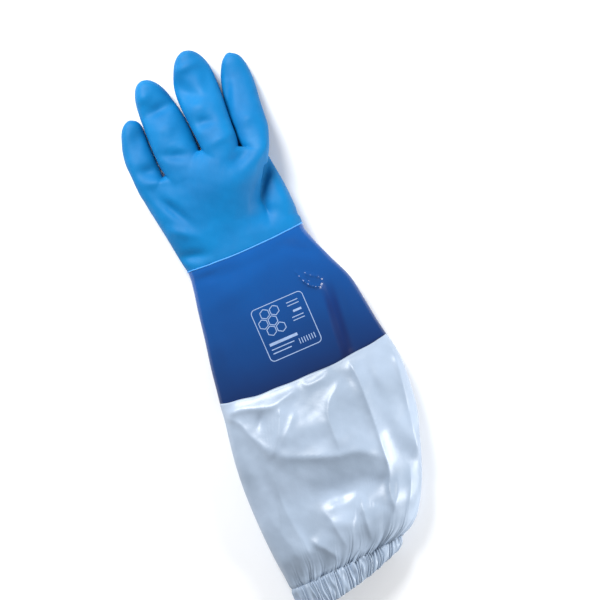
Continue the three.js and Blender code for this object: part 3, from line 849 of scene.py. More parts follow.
def gloss_material(settings):
    """Glossy dark vinyl, darker towards the seam partly by its own deeper tone and partly by painted
    shade, with painted shade along its valley and faint unevenness in its shine.
    """
    material, tree, shader, coordinates = start_material("gloss_vinyl")
    place = coordinates["Object"]
    along = add_node(tree, "ShaderNodeSeparateXYZ", Vector=place)["Y"]
    # Partly painted shade: the blue darkens from the wrist to the seam, partly as the coat's own deeper
    # tone
    down = remap(tree, along, WRIST_EDGE * MM, SEAM_EDGE * MM)
    tone_and_painted_shade = blend_colours(tree, down, tuple(settings.colour), tuple(settings.deep_colour))
    dye = mottled(tree, place, 0.05, (1, 1, 1, 1), (0.82, 0.84, 0.88, 1))
    # Painted shade: a darker streak along the valley that runs down to the seam, over the random mottle
    valley_shade_mask = place_group(tree, "Dark Streak", make_painted_valley_shade, Vector=place)
    mottle_and_valley_shade = blend_colours(tree, valley_shade_mask["Mask"], dye["Color"], (0.36, 0.48, 0.66, 1))
    tree.links.new(blend_colours(tree, 1.0, tone_and_painted_shade, mottle_and_valley_shade, "MULTIPLY"), shader.inputs["Base Color"])
    vary_shine(tree, shader, dye["Share"], 0.16, 0.24)
    bump(tree, shader, grained(tree, place, 0.004, 0.2)["Height"], 0.0003, 0.12)
    return material


def cloth_material(name, settings):
    """Thin coated cloth with a satin shine: fine weave on the cut's own map under soft uneven creasing."""
    material, tree, shader, coordinates = start_material(name)
    weave = place_group(tree, "Plain Weave", make_weave, Vector=coordinates["UV"], Pitch=settings.thread)
    grain = grained(tree, coordinates["Object"], 0.006, 0.4)
    dye = mottled(tree, coordinates["Object"], 0.045, settings.colour, settings.shade_colour)
    tree.links.new(dye["Color"], shader.inputs["Base Color"])
    vary_shine(tree, shader, dye["Share"], 0.36, 0.44)
    shader.inputs["Specular IOR Level"].default_value = 0.8
    thread = calculate(tree, "MULTIPLY", weave["Height"], 0.06)
    bump(tree, shader, calculate(tree, "ADD", thread, grain["Height"]), 0.0006, 0.22)
    return material


def plain_vinyl(name, colour, roughness):
    """A smooth vinyl of one dye, slightly mottled."""
    material, tree, shader, coordinates = start_material(name)
    deep = (*(0.8 * part for part in colour[:3]), 1.0)
    dye = mottled(tree, coordinates["Object"], 0.004, colour, deep)
    tree.links.new(dye["Color"], shader.inputs["Base Color"])
    shader.inputs["Roughness"].default_value = roughness
    return material


# Settings
class GloveHandSettings(bpy.types.PropertyGroup):
    """The coated hand."""

    wall: bpy.props.FloatProperty(
        name="Coat wall", description="Thickness of the coated hand", default=COAT_WALL * MM, unit="LENGTH"
    )
    relief: bpy.props.FloatProperty(
        name="Relief", description="How deep the dents and folds are", default=1.0, min=0, max=2,
        subtype="FACTOR",
    )
    grain: bpy.props.FloatProperty(
        name="Grain", description="How rough the sanded coat is", default=0.3, min=0, max=1,
        subtype="FACTOR",
    )
    bead: bpy.props.FloatProperty(
        name="Edge bead", description="Radius of the coat's raised edge", default=0.65 * MM, unit="LENGTH"
    )
    colour: bpy.props.FloatVectorProperty(
        name="Colour", description="Main blue of the coat", size=4, subtype="COLOR",
        default=linear(0, 119, 182),
    )
    deep_colour: bpy.props.FloatVectorProperty(
        name="Deep colour", description="Deeper blue of the coat", size=4, subtype="COLOR",
        default=linear(0, 108, 169),
    )


class GloveGauntletSettings(bpy.types.PropertyGroup):
    """The glossy gauntlet and its print."""

    wall: bpy.props.FloatProperty(
        name="Wall", description="Thickness of the gauntlet", default=GAUNTLET_WALL * MM, unit="LENGTH"
    )
    colour: bpy.props.FloatVectorProperty(
        name="Colour", description="Blue at the wrist", size=4, subtype="COLOR", default=linear(0, 88, 166)
    )
    # The blue the gauntlet darkens to at the seam, partly its own tone and partly painted shade
    deep_colour: bpy.props.FloatVectorProperty(
        name="Deep colour", description="Blue at the seam", size=4, subtype="COLOR",
        default=linear(0, 42, 96),
    )
    print_line: bpy.props.FloatProperty(
        name="Print line", description="Width of the print's lines", default=0.75 * MM, unit="LENGTH"
    )
    print_colour: bpy.props.FloatVectorProperty(
        name="Print colour", description="Pale ink", size=4, subtype="COLOR", default=linear(150, 174, 212)
    )


class GloveSleeveSettings(bpy.types.PropertyGroup):
    """The cloth sleeve and the gathered cuff."""

    wall: bpy.props.FloatProperty(
        name="Cloth wall", description="Thickness of the cloth", default=CLOTH_WALL * MM, unit="LENGTH"
    )
    relief: bpy.props.FloatProperty(
        name="Folds", description="How high the folds stand", default=1.0, min=0, max=2, subtype="FACTOR"
    )
    ribs: bpy.props.IntProperty(
        name="Ribs", description="Gathers round the cuff", default=58, min=20, max=90
    )
    rib_height: bpy.props.FloatProperty(
        name="Rib height", description="How far the gathers stand out", default=2.8 * MM, unit="LENGTH"
    )
    thread: bpy.props.FloatProperty(
        name="Thread", description="Spacing of the threads", default=0.45 * MM, unit="LENGTH", precision=5
    )
    colour: bpy.props.FloatVectorProperty(
        name="Colour", description="Cloth in the light", size=4, subtype="COLOR",
        default=linear(164, 180, 200),
    )
    shade_colour: bpy.props.FloatVectorProperty(
        name="Shade colour", description="Duller cloth", size=4, subtype="COLOR",
        default=linear(144, 160, 179),
    )


class GloveStageSettings(bpy.types.PropertyGroup):
    """Floor, light and camera."""

    distance: bpy.props.FloatProperty(
        name="Camera height", description="Camera above the table", default=1.6, unit="LENGTH"
    )
    key: bpy.props.FloatProperty(
        name="Key light", description="Power of the large soft light", default=38.0
    )
    side: bpy.props.FloatProperty(
        name="Side light", description="Power of the light at the right", default=5.8
    )
    sky: bpy.props.FloatProperty(name="Sky", description="Strength of the even light", default=0.4)
    floor: bpy.props.FloatVectorProperty(
        name="Floor", description="Pale table", size=4, subtype="COLOR", default=linear(246, 247, 249)
    )


# The photograph's frame: what its middle shows and what its width spans on the table, in metres, and
# the direction of its upper edge
VIEW_MIDDLE = (0.0252, -0.0648)
VIEW_SPAN = 0.549
VIEW_TURN = math.radians(-23.5)
SENSOR = 36.0
TABLE_REACH = 3000.0
KEY_PLACE = (-0.3, 1.2, 1.1)
KEY_AIM = (0.025, -0.065, 0)
KEY_SIZE = 0.8
SIDE_PLACE = (0.62, -0.56, 0.32)
SIDE_AIM = (0.0, -0.27, 0)
SIDE_SIZE = 0.4


class GLOVE_OT_stage(bpy.types.Operator):
    """Makes the table, two soft lights and the camera over the glove"""

    bl_idname = "glove.stage"
    bl_label = "Glove Stage"

    def execute(self, context):
        settings = context.scene.glove_stage
        scene = context.scene
        scene.view_settings.view_transform = "Standard"
        across, along = np.meshgrid([-TABLE_REACH, TABLE_REACH], [-TABLE_REACH, TABLE_REACH])
        corners = np.stack([across, along, np.full_like(across, -FIT_GAP)], axis=-1)
        table_top = grid_piece("table_top", corners, False)
        material, _tree, shader, _coordinates = start_material("pale_table")
        shader.inputs["Base Color"].default_value = tuple(settings.floor)
        shader.inputs["Roughness"].default_value = 0.7
        table_top.data.materials.append(material)

        world = bpy.data.worlds.new("even_light")
        world.use_nodes = True
        sky = world.node_tree.nodes["Background"]
        sky.inputs["Color"].default_value = linear(250, 252, 255)
        sky.inputs["Strength"].default_value = settings.sky
        scene.world = world

        for name, place, aim, size, power in (
            ("key_light", KEY_PLACE, KEY_AIM, KEY_SIZE, settings.key),
            ("side_light", SIDE_PLACE, SIDE_AIM, SIDE_SIZE, settings.side),
        ):
            lamp = bpy.data.lights.new(name, "AREA")
            lamp.shape = "DISK"
            lamp.size = size
            lamp.energy = power
            light = bpy.data.objects.new(name, lamp)
            light.location = place
            light.rotation_euler = (Vector(aim) - light.location).to_track_quat("-Z", "Y").to_euler()
            scene.collection.objects.link(light)

        camera_data = bpy.data.cameras.new("photo_camera")
        camera_data.sensor_width = SENSOR
        camera_data.lens = SENSOR * settings.distance / VIEW_SPAN
        camera = bpy.data.objects.new("photo_camera", camera_data)
        camera.location = (*VIEW_MIDDLE, settings.distance)
        camera.rotation_euler = (0, 0, VIEW_TURN)
        scene.collection.objects.link(camera)
        scene.camera = camera
        return {"FINISHED"}


def across_corners(left, right, y):
    """The left and right corners of rings that run straight across the glove."""
    return np.stack([left, y], axis=1), np.stack([right, y], axis=1)


def palm_lift(x, y):
    """How far the thumb lifts the palm, and how much flatter it is there: two eased steps multiplied."""
    part = smooth(x, -0.34 * KNUCKLE_WIDTH, 0.15 * KNUCKLE_WIDTH)
    part = part * smooth(y, 0.05 * HAND_LENGTH, 0.34 * HAND_LENGTH)
    return THUMB_LIFT * part, FLATTENING * part


def palm_rings(rows, turns, inset):
    """The palm's rings: flattened ovals whose corners and height follow the table, bowed at the wrist
    and domed at the knuckles."""
    share = smooth(rows["along"], 0, KNUCKLES_ALONG)
    width = mixed(WRIST_WIDTH, KNUCKLE_WIDTH, share)
    full = mixed(WRIST_HEIGHT, KNUCKLE_HEIGHT, share)
    domed = KNUCKLE_BOW * smooth(rows["along"], KNUCKLES_FROM, PALM["along"][-1])
    y = rows["along"] * HAND_LENGTH - domed
    sunk = (1 - rows["height"]) * (0.5 - PRESSED / 2) * full
    left, right = across_corners(-rows["left"] * width, rows["right"] * width, y)

    def lift(px, py):
        rise, flatten = palm_lift(px, py)
        return rise + sunk[:, None], flatten

    bow = WRIST_BOW * (1 - smooth(y, WRIST_EDGE, 3 * WRIST_LAP)) - domed
    return lying_rings(left, right, full * rows["height"], turns, inset, bow, lift)


def palm_rows(places):
    """The palm table's rows read at places along the glove, in millimetres."""
    along = np.array(places) / HAND_LENGTH
    return {key: np.interp(along, PALM["along"], PALM[key]) for key in PALM}


def finger_rings(finger, count, turns, inset):
    """A finger's rings, whose backs come down from the knuckle's height to the table."""
    rows = smooth_rows(finger["rows"], count)
    share = (rows["along"] - rows["along"][0]) / (rows["along"][-1] - rows["along"][0])
    width = np.maximum(rows["width"], 0.02) * FINGER_WIDTH
    full = FINGER_HEIGHT * finger["thick"]
    height = full * np.minimum(1, np.sqrt(width / (0.55 * FINGER_WIDTH)))
    back = FINGER_HEIGHT * mixed(finger["root"], finger["tip"], smooth(share, 0.05, 0.92))
    middle = np.maximum(back - full * (0.5 + PRESSED / 2), 0)
    y = rows["along"] * HAND_LENGTH - (inset + TIP_BACK) * share
    x = rows["x"] * KNUCKLE_WIDTH
    left, right = across_corners(x - width / 2, x + width / 2, y)
    rise = (middle - height * (0.5 - PRESSED / 2))[:, None]
    return lying_rings(left, right, height, turns, inset, lift=lambda px, py: (rise, 0.0))


def thumb_rings(count, turns, inset):
    """The thumb's rings, flat on the table under the palm."""
    rows = smooth_rows(THUMB, count)
    x, width = rows["x"] * KNUCKLE_WIDTH, np.maximum(rows["width"], 0.04) * THUMB_WIDTH
    y = rows["along"] * HAND_LENGTH + np.where(rows["along"] > 0.5, -inset, inset)
    left, right = across_corners(x - width / 2, x + width / 2, y)
    return lying_rings(left, right, rows["height"] * THUMB_HEIGHT, turns, inset)


def closed_loft(rings):
    """Rings with a pole added at the middle of both end rings, so that the form is closed."""
    poles = [np.broadcast_to(ring.mean(axis=0), ring.shape)[None] for ring in (rings[0], rings[-1])]
    return np.concatenate([poles[0], rings, poles[1]])


def soften(points, edges, rounds):
    """Smooths a mesh without shrinking it: each round moves the points by 0.5 of the way to the mean of
    their neighbours and then by 0.52 of the way back."""
    ends = np.concatenate([edges, edges[:, ::-1]])
    count = np.bincount(ends[:, 0], minlength=len(points))[:, None]
    for _ in range(rounds):
        for share in (0.5, -0.52):
            sums = [np.bincount(ends[:, 0], points[ends[:, 1], axis], len(points)) for axis in range(3)]
            points = points + share * (np.stack(sums, axis=1) / count - points)
    return points


def blend_backs(points, edges, share, rounds):
    """Blends the upper sides of joined forms: each round moves a point's height a share of the way to
    the mean height of its neighbours."""
    ends = np.concatenate([edges, edges[:, ::-1]])
    count = np.bincount(ends[:, 0], minlength=len(points))
    height = points[:, 2].copy()
    for _ in range(rounds):
        height += share * (np.bincount(ends[:, 0], height[ends[:, 1]], len(points)) / count - height)
    return np.column_stack([points[:, :2], height])


def read_points(mesh, kind="co"):
    """A mesh's vertex places in millimetres, or its vertex normals."""
    values = np.empty(len(mesh.vertices) * 3, np.float32)
    if kind == "co":
        mesh.vertices.foreach_get("co", values)
        return values.reshape(-1, 3).astype(float) / MM
    mesh.vertex_normals.foreach_get("vector", values)
    return values.reshape(-1, 3).astype(float)


def write_points(mesh, points):
    """Stores places given in millimetres."""
    mesh.vertices.foreach_set("co", (points * MM).astype(np.float32).ravel())
    mesh.update()


def wrist_bow(x):
    """How far the coat's edge dips below its ends at a place across the wrist: the bow times 1 - u
    squared."""
    u = (x - WRIST_SHIFT) / (WRIST_WIDTH / 2)
    return WRIST_BOW * np.maximum(1 - u * u, 0)


def cut_wrist(piece):
    """Cuts the closed hand open along the bowed line of the coat's edge: the mesh is sheared so that
    the line is straight, cut, and sheared back."""
    points = read_points(piece.data)
    points[:, 1] += wrist_bow(points[:, 0])
    write_points(piece.data, points)
    work = bmesh.new()
    work.from_mesh(piece.data)
    whole = work.verts[:] + work.edges[:] + work.faces[:]
    bmesh.ops.bisect_plane(
        work, geom=whole, plane_co=(0, WRIST_EDGE * MM, 0), plane_no=(0, -1, 0), clear_outer=True
    )
    work.to_mesh(piece.data)
    work.free()
    points = read_points(piece.data)
    points[:, 1] -= wrist_bow(points[:, 0])
    write_points(piece.data, points)


class GLOVE_OT_hand(bpy.types.Operator):
    """Makes the coated hand: palm, four fingers and the folded thumb, joined into one skin with a wall"""

    bl_idname = "glove.hand"
    bl_label = "Coated Hand"

    def execute(self, context):
        settings = context.scene.glove_hand
        turns = np.linspace(0, 2 * math.pi, FORM_SIDES, endpoint=False)
        forms = [palm_rings(smooth_rows(PALM, PALM_ROWS), turns, JOIN_INSET)]
        forms += [finger_rings(finger, FINGER_ROWS, turns, JOIN_INSET) for finger in FINGERS]
        forms.append(thumb_rings(THUMB_ROWS, turns, JOIN_INSET))
        lofts = map(closed_loft, forms)
        grids = [(rings, grid_faces(*rings.shape[:2], True)[:, ::-1]) for rings in lofts]
        piece = mesh_from("coated_hand", *join_grids(grids))
        join = piece.modifiers.new("join", "REMESH")
        join.mode = "VOXEL"
        join.voxel_size = JOIN_VOXEL * MM
        join.use_smooth_shade = True
        settle_modifiers(piece)

        mesh = piece.data
        edges = np.empty(len(mesh.edges) * 2, np.int32)
        mesh.edges.foreach_get("vertices", edges)
        edges = edges.reshape(-1, 2)
        write_points(mesh, soften(read_points(mesh), edges, SMOOTH_ROUNDS))
        points, normals = read_points(mesh), read_points(mesh, "normal")
        backs = np.minimum(dent_rise(BLENDS, points[:, 0], points[:, 1]), 1)
        backs = backs * smooth(normals[:, 2], -0.1, 0.35)
        write_points(mesh, blend_backs(points, edges, backs, BLEND_ROUNDS))
        points, normals = read_points(mesh), read_points(mesh, "normal")
        upper = smooth(normals[:, 2], 0.05, 0.6)
        x, y = points[:, 0], points[:, 1]
        relief = dent_rise(HAND_DENTS, x, y) + folds_rise(HAND_FOLDS, x, y)
        uneven = unevenness(points, HAND_UNEVEN)
        points += normals * GROW_BACK
        points[:, 2] += settings.relief * relief * upper
        points += normals * (uneven * upper)[:, None]
        points[:, 2] = np.maximum(points[:, 2], 0)
        write_points(mesh, points)
        cut_wrist(piece)
        add_wall(piece, settings.wall / MM)
        piece.data.shade_smooth()
        finish_piece(piece, coat_material(settings), "hand")
        return {"FINISHED"}


def tube_along(path, radius, sides=BEAD_SIDES):
    """A round tube along a closed path: at each point a circle across the path, on the axes that stand
    up and across there."""
    ahead = np.roll(path, -1, axis=0) - np.roll(path, 1, axis=0)
    ahead /= np.linalg.norm(ahead, axis=1, keepdims=True)
    side = np.cross(ahead, np.array([0.0, 1.0, 0.0]))
    side /= np.linalg.norm(side, axis=1, keepdims=True)
    up = np.cross(side, ahead)
    turns = np.linspace(0, 2 * math.pi, sides, endpoint=False)[None, :, None]
    return path[:, None] + radius * (np.cos(turns) * side[:, None] + np.sin(turns) * up[:, None])


class GLOVE_OT_coat_edge(bpy.types.Operator):
    """Makes the raised bead where the light coat ends over the gauntlet"""

    bl_idname = "glove.coat_edge"
    bl_label = "Coat Edge"

    def execute(self, context):
        settings = context.scene.glove_hand
        turns = even_turns(BEAD_POINTS, WRIST_WIDTH, WRIST_HEIGHT)
        path = palm_rings(palm_rows([WRIST_EDGE]), turns, BEAD_INSET)[0]
        path[:, 2] = np.maximum(path[:, 2], settings.bead / MM)
        path[:, 1] += unevenness(path, BEAD_UNEVEN) - BEAD_SHIFT
        rings = tube_along(path, settings.bead / MM)
        rings = np.concatenate([rings, rings[:1]])
        piece = grid_piece("coat_edge", rings)
        merge = piece.modifiers.new("close", "WELD")
        merge.merge_threshold = 0.00001
        settle_modifiers(piece)
        finish_piece(piece, plain_vinyl("edge_vinyl", linear(70, 160, 236), 0.5))
        return {"FINISHED"}


# What the gauntlet's UV map spans, round it and along it, in metres
GAUNTLET_MAP = (0.39, 0.14)


def gauntlet_points(rows, turns):
    """The gauntlet's outer surface: rings below the wrist on the straight flare between the wrist and
    the seam."""
    y = mixed(WRIST_EDGE - LIP_STEP - 1, SEAM_EDGE, rows["along"])
    edges = (
        mixed(WRIST_SHIFT + side * WRIST_WIDTH / 2, SEAM_SHIFT + side * GAUNTLET_WIDTH / 2, rows[name])
        for name, side in SIDES
    )
    left, right = across_corners(*edges, y)
    bow = mixed(WRIST_BOW, SEAM_BOW, rows["along"])
    height = GAUNTLET_HEIGHT * rows["height"]
    return lying_rings(left, right, height, turns, bow=bow, floor=CLOTH_WALL + FIT_GAP)


class GLOVE_OT_gauntlet(bpy.types.Operator):
    """Makes the glossy gauntlet from inside the hand's coat to inside the sleeve"""

    bl_idname = "glove.gauntlet"
    bl_label = "Gauntlet"

    def execute(self, context):
        settings = context.scene.glove_gauntlet
        row_count, columns = GAUNTLET_GRID
        turns = even_turns(columns, GAUNTLET_WIDTH, GAUNTLET_HEIGHT, emphasis=3.0, focus=0.62, gain=1.6)
        hidden = palm_rings(palm_rows(np.linspace(WRIST_LAP, WRIST_EDGE, 6)), turns, LAP_INSET)
        lip = palm_rings(palm_rows([WRIST_EDGE - LIP_STEP]), turns, LIP_INSET)
        places = denser_shares(row_count, middle=0.43, width=0.09, gain=1.8)
        shown = gauntlet_points(smooth_rows(GAUNTLET, row_count, places), turns)
        eased = smooth(WRIST_EDGE - shown[:, :1, 1] - WRIST_BOW, 0, 12)
        shown[:, :, 0] = mixed(lip[:, :, 0], shown[:, :, 0], eased)
        shown[:, :, 2] = mixed(lip[:, :, 2], shown[:, :, 2], eased)
        points = np.concatenate([hidden, lip, shown])
        x, y = points[:, :, 0], points[:, :, 1]
        upper = smooth(grid_normals(points)[:, :, 2], 0.05, 0.6)
        below = 1 - smooth(y, WRIST_EDGE - 12, WRIST_EDGE - 4)
        above = smooth(y, SEAM_EDGE - 8, SEAM_EDGE + 2)
        relief = dent_rise(GAUNTLET_DENTS, x, y) + folds_rise(GAUNTLET_FOLDS, x, y)
        relief += unevenness(points, GAUNTLET_UNEVEN)
        points[:, :, 2] += relief * upper * below * mixed(0.3, 1, above)
        under = smooth(y, WRIST_EDGE - WRIST_BOW - 1, WRIST_EDGE + 1)
        points[:, :, 2] += np.minimum(dent_rise(HAND_DENTS, x, y), 0) * under * upper
        piece = grid_piece("gauntlet_skin", points, cut=GAUNTLET_MAP)
        add_wall(piece, settings.wall / MM)
        finish_piece(piece, gloss_material(settings), "gauntlet")
        return {"FINISHED"}


# The print is a plain pale panel of lines: its middle and half side on the gauntlet, and what is inside
# it, all in millimetres from its middle
PRINT_MIDDLE = (4.5, -81.5)
PRINT_HALF = 24.8
PRINT_CORNER = 4.0
PRINT_STEP = 0.9
INK_GAP = 0.05
INK_WALL = 0.12
CELL_RADIUS = 4.5
CELL_PITCH = 9.3
CELLS = ((0, 0), (1, 0), (-0.5, 1), (0.5, 1), (0, 2), (1, 2))
CELLS_FROM = (-13.5, 1.5)
BARS = table(
    "x y length width",
    (-7, -10, 27, 2.6),
    (-9.5, -14.8, 22, 0.9),
    (-11.5, -18.4, 18, 0.9),
    (13.5, 19, 11, 0.8),
    (13.5, 16, 11, 0.8),
    (15, 10, 8, 2.0),
    (13.5, 5, 11, 0.8),
    (13.5, 2, 11, 0.8),
)
TICKS = 7
TICK_PITCH = 2.4
TICK_FROM = (6.0, -19.5)
TICK_LENGTH = 5.0


def ribbon(line, width, closed):
    """A flat ribbon along a line: the line is read at even steps of its length, and both edges lie half
    the width to its sides, at right angles to the run between the neighbouring points."""
    line = np.array(line, float)
    if closed:
        line = np.concatenate([line, line[:1]])
    lengths = np.concatenate([[0], np.cumsum(np.hypot(*np.diff(line, axis=0).T))])
    places = np.linspace(0, lengths[-1], max(int(lengths[-1] / PRINT_STEP), 2) + 1)
    middle = np.stack([np.interp(places, lengths, line[:, axis]) for axis in (0, 1)], axis=1)
    if closed:
        middle = middle[:-1]
        run = np.roll(middle, -1, axis=0) - np.roll(middle, 1, axis=0)
    else:
        run = np.gradient(middle, axis=0)
    side = np.stack([-run[:, 1], run[:, 0]], axis=1) / np.hypot(run[:, 0], run[:, 1])[:, None] * width / 2
    return np.stack([middle + side, middle - side]), closed


def panel_lines(line):
    """Every ribbon of the printed panel: a rounded frame, a comb of six-sided cells, bars and a row of
    ticks."""
    turns = np.linspace(0, 2 * math.pi, 36, endpoint=False) + math.pi / 36
    circle = np.stack([np.cos(turns), np.sin(turns)], axis=1)
    ribbons = [ribbon(np.sign(circle) * (PRINT_HALF - PRINT_CORNER) + PRINT_CORNER * circle, line, True)]
    sixths = np.arange(6) * math.pi / 3 + math.pi / 6
    cell = CELL_RADIUS * np.stack([np.cos(sixths), np.sin(sixths)], axis=1)
    for column, row in CELLS:
        place = CELL_PITCH * np.array([column, row * math.sin(math.pi / 3)])
        ribbons.append(ribbon(cell + CELLS_FROM + place, line, True))
    for x, y, length, width in zip(*BARS.values(), strict=True):
        ribbons.append(ribbon([(x - length / 2, y), (x + length / 2, y)], width, False))
    for tick in range(TICKS):
        x, y = TICK_FROM[0] + TICK_PITCH * tick, TICK_FROM[1]
        ribbons.append(ribbon([(x, y), (x, y + TICK_LENGTH)], line, False))
    return ribbons


class GLOVE_OT_print(bpy.types.Operator):
    """Makes the pale printed panel on the gauntlet"""

    bl_idname = "glove.print"
    bl_label = "Gauntlet Print"

    def execute(self, context):
        settings = context.scene.glove_gauntlet
        ribbons = panel_lines(settings.print_line / MM)
        points, faces = join_grids(
            [(edges + PRINT_MIDDLE, grid_faces(2, edges.shape[1], closed)) for edges, closed in ribbons]
        )
        above = np.full(len(points), 2 * GAUNTLET_HEIGHT)
        piece = mesh_from("print_panel", np.column_stack([points, above]), faces)
        lay = piece.modifiers.new("lay", "SHRINKWRAP")
        lay.target = bpy.data.objects["gauntlet_skin"]
        lay.wrap_method = "PROJECT"
        lay.use_project_z = True
        lay.use_negative_direction = True
        lay.use_positive_direction = False
        lay.offset = INK_GAP * MM
        settle_modifiers(piece)
        work = bmesh.new()
        work.from_mesh(piece.data)
        bmesh.ops.reverse_faces(work, faces=[face for face in work.faces if face.normal.z < 0])
        work.to_mesh(piece.data)
        work.free()
        points = read_points(piece.data)
        points[:, 2] += INK_WALL
        write_points(piece.data, points)
        add_wall(piece, INK_WALL)
        piece.data.shade_flat()
        ink = plain_vinyl("pale_ink", tuple(settings.print_colour), 0.45)
        finish_piece(piece, ink)
        return {"FINISHED"}


# The flat cuts of the sleeve and the cuff in metres, round the arm and along it
SLEEVE_CUT = (0.42, 0.19)
CUFF_CUT = (0.42, 0.022)

# Seeds of the ribs' widths, heights and lengths and of the broad gathers, and how many values ribs draw
# from
RIB_WIDTH_SEED = 21
RIB_HEIGHT_SEED = 5
RIB_LENGTH_SEED = 9
GATHER_SEED = 44
RIB_VALUES = 400

# How far the ribs reach up the sleeve, at the least and at the most, in millimetres
RIB_REACH = (3, 11)


def sleeve_corners(rows):
    """Both corners of the sleeve's rings: on the lines from the seam's corners to the cuff's, moved out
    by the table."""
    corners = []
    for name, side in SIDES:
        along = rows[f"{name}_along"]
        seam = SEAM_SHIFT + side * GAUNTLET_WIDTH / 2
        cuff = SEAM_SHIFT - SLEEVE_SWING + side * CUFF_WIDTH / 2
        x = mixed(seam, cuff, along) + side * rows[name] * SLEEVE_WIDTH
        y = mixed(SEAM_EDGE, CUFF_EDGE + side * CUFF_SLOPE / 2, along)
        corners.append(np.stack([x, y], axis=1))
    return corners


def rib_phase(share, ribs):
    """How many ribs lie before each share of the way round: an even count plus a few seeded sine waves
    that close on themselves, so some ribs are wider than others."""
    chance = np.random.default_rng(RIB_WIDTH_SEED)
    phase = ribs * share
    for waves in (3, 5, 8, 13, 21):
        turn = 2 * math.pi * waves * share
        phase = phase + chance.uniform(0.15, 0.5) * np.sin(turn + chance.uniform(0, 6.28))
    return phase


def rib_heights(number, seed):
    """A seeded value from 0 to 1 for each rib number, as whole arrays."""
    values = np.random.default_rng(seed).uniform(0, 1, RIB_VALUES)
    return values[np.mod(np.floor(number).astype(int), RIB_VALUES)]


def rib_wave(share, ribs, down):
    """Round ribs: the sine of the phase without its sign, to the power 1.7. Each rib has its own
    height, and wanders a little on its way down the band."""
    wander = 0.2 * np.sin(2 * math.pi * (7 * share + 0.6 * down))
    wander = wander + 0.14 * np.sin(2 * math.pi * (17 * share - down))
    phase = np.mod(rib_phase(share, ribs) + wander, ribs)
    tall = mixed(0.55, 1.0, rib_heights(phase, RIB_HEIGHT_SEED))
    return tall * np.abs(np.sin(math.pi * phase)) ** 1.7 - 0.5


def gather_wave(share, from_cuff):
    """Broad soft folds that run up from the cuff: sine waves round the sleeve at seeded places, each
    dying away over its own length from the cuff."""
    chance = np.random.default_rng(GATHER_SEED)
    total = np.zeros(np.broadcast_shapes(share.shape, from_cuff.shape))
    for waves in (13, 19, 26, 34):
        lean = chance.uniform(-0.02, 0.02)
        place = share + lean * from_cuff / CUFF_BAND
        wave = np.sin(2 * math.pi * waves * place + chance.uniform(0, 6.28))
        patch = 0.6 + 0.4 * np.sin(2 * math.pi * (waves % 5 + 2) * share + chance.uniform(0, 6.28))
        total += 26 / (waves + 13) * wave * patch * np.exp(-from_cuff / (330 / waves))
    return total


class GLOVE_OT_sleeve(bpy.types.Operator):
    """Makes the cloth sleeve with its folds and the gathers that run into the cuff"""

    bl_idname = "glove.sleeve"
    bl_label = "Cloth Sleeve"

    def execute(self, context):
        settings = context.scene.glove_sleeve
        row_count, columns = SLEEVE_GRID
        turns = even_turns(columns, SLEEVE_WIDTH, SLEEVE_HEIGHT)
        rows = smooth_rows(SLEEVE, row_count)
        left, right = sleeve_corners(rows)
        gathered = smooth(rows["right_along"], 0.8, 1)
        height = mixed(SLEEVE_HEIGHT, CUFF_HEIGHT, gathered) * rows["height"]
        bow = SEAM_BOW * (1 - smooth(rows["right_along"], 0, 0.5))
        points = lying_rings(left, right, height, turns, bow=bow)
        x, y = points[:, :, 0], points[:, :, 1]
        normals = grid_normals(points)
        upper = smooth(normals[:, :, 2], 0.0, 0.5)
        relief = settings.relief * (folds_rise(CLOTH_FOLDS, x, y) + dent_rise(CLOTH_DENTS, x, y))
        relief += unevenness(points, CLOTH_UNEVEN)
        start = smooth(rows["right_along"], 0.0, 0.06)[:, None]
        points[:, :, 1] += unevenness(points, SEAM_UNEVEN) * (1 - start)
        points[:, :, 2] += relief * upper * mixed(0.25, 1, start)
        share = np.arange(columns) / columns
        from_cuff = (1 - rows["right_along"])[:, None] * (SEAM_EDGE - CUFF_EDGE)
        number = np.mod(rib_phase(share, settings.ribs), settings.ribs)
        reach = mixed(*RIB_REACH, rib_heights(number, RIB_LENGTH_SEED) ** 1.5)
        fade = np.exp(-from_cuff / reach)
        wave = rib_wave(share[None, :], settings.ribs, -from_cuff / CUFF_BAND)
        pinch = (CUFF_WALL + 0.1) * (1 - smooth(from_cuff, 0, 5))
        broad = gather_wave(share[None, :], from_cuff)
        points += normals * (settings.rib_height / MM * wave * fade + broad - pinch)[:, :, None]
        points[:, :, 2] = np.maximum(points[:, :, 2], 0)
        piece = grid_piece("sleeve_cloth", points, cut=SLEEVE_CUT)
        add_wall(piece, settings.wall / MM)
        finish_piece(piece, cloth_material("satin_cloth", settings), "sleeve")
        return {"FINISHED"}


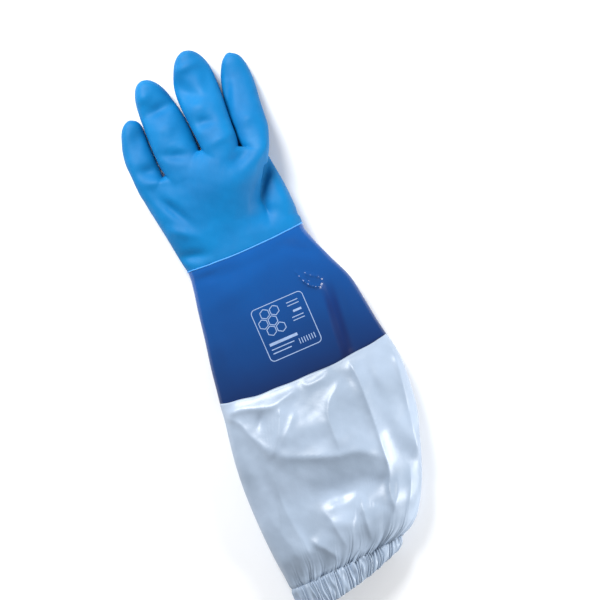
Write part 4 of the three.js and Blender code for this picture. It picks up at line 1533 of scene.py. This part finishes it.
class GLOVE_OT_cuff(bpy.types.Operator):
    """Makes the gathered casing round the elastic"""

    bl_idname = "glove.cuff"
    bl_label = "Gathered Cuff"

    def execute(self, context):
        settings = context.scene.glove_sleeve
        row_count, columns = CUFF_GRID
        turns = even_turns(columns, SLEEVE_WIDTH, SLEEVE_HEIGHT)
        last = {key: SLEEVE[key][-1:] for key in SLEEVE}
        left, right = sleeve_corners(last)
        down = np.linspace(0, 1, row_count)[:, None]
        left = left + np.concatenate([0.02 * CUFF_WIDTH * down, CUFF_LAP - CUFF_BAND * down], axis=1)
        turned_in = [-CUFF_STEP_IN - CUFF_TURN_IN * down**2, CUFF_LAP - CUFF_SHORT_SIDE * down]
        right = right + np.concatenate(turned_in, axis=1)
        points = lying_rings(left, right, np.full(row_count, CUFF_HEIGHT), turns, bow=CUFF_BOW * down)
        share = np.arange(columns) / columns
        wave = rib_wave(share[None, :], settings.ribs, down)
        puff = np.sin(math.pi * down) - 0.5 * smooth(down, 0.85, 1)
        puff = puff - 0.9 * (1 - smooth(down, 0, 0.12))
        tall = settings.rib_height / MM * mixed(1.0, 0.8, down)
        normals = grid_normals(points)
        points += normals * (tall * wave + puff)[:, :, None]
        points[:, :, 2] = np.maximum(points[:, :, 2], 0)
        piece = grid_piece("gathered_cuff", points, cut=CUFF_CUT)
        add_wall(piece, CUFF_WALL)
        finish_piece(piece, cloth_material("cuff_satin", settings), "elastic_cuff")
        return {"FINISHED"}


STEPS = ("stage", "hand", "coat_edge", "gauntlet", "print", "sleeve", "cuff")
SETTINGS = {
    "glove_hand": GloveHandSettings,
    "glove_gauntlet": GloveGauntletSettings,
    "glove_sleeve": GloveSleeveSettings,
    "glove_stage": GloveStageSettings,
}


class GLOVE_PT_panel(bpy.types.Panel):
    """The glove's settings and steps in the sidebar"""

    bl_idname = "GLOVE_PT_panel"
    bl_label = "Beekeeping Glove"
    bl_space_type = "VIEW_3D"
    bl_region_type = "UI"
    bl_category = "Glove"

    def draw(self, context):
        layout = self.layout
        for step in STEPS:
            layout.operator(f"glove.{step}")
        for group in (getattr(context.scene, name) for name in SETTINGS):
            for name in group.bl_rna.properties.keys():
                if name not in ("rna_type", "name"):
                    layout.prop(group, name)


CLASSES = (
    *SETTINGS.values(),
    GLOVE_OT_stage,
    GLOVE_OT_hand,
    GLOVE_OT_coat_edge,
    GLOVE_OT_gauntlet,
    GLOVE_OT_print,
    GLOVE_OT_sleeve,
    GLOVE_OT_cuff,
    GLOVE_PT_panel,
)


def register():
    """Registers the classes and hangs the settings on the scene."""
    for kind in CLASSES:
        bpy.utils.register_class(kind)
    for name, kind in SETTINGS.items():
        setattr(bpy.types.Scene, name, bpy.props.PointerProperty(type=kind))


def unregister():
    """Takes the settings off the scene and unregisters the classes."""
    for name in SETTINGS:
        delattr(bpy.types.Scene, name)
    for kind in reversed(CLASSES):
        bpy.utils.unregister_class(kind)


def main():
    """Makes the stage and every piece in order."""
    register()
    for step in STEPS:
        getattr(bpy.ops.glove, step)()


if __name__ == "__main__":
    main()
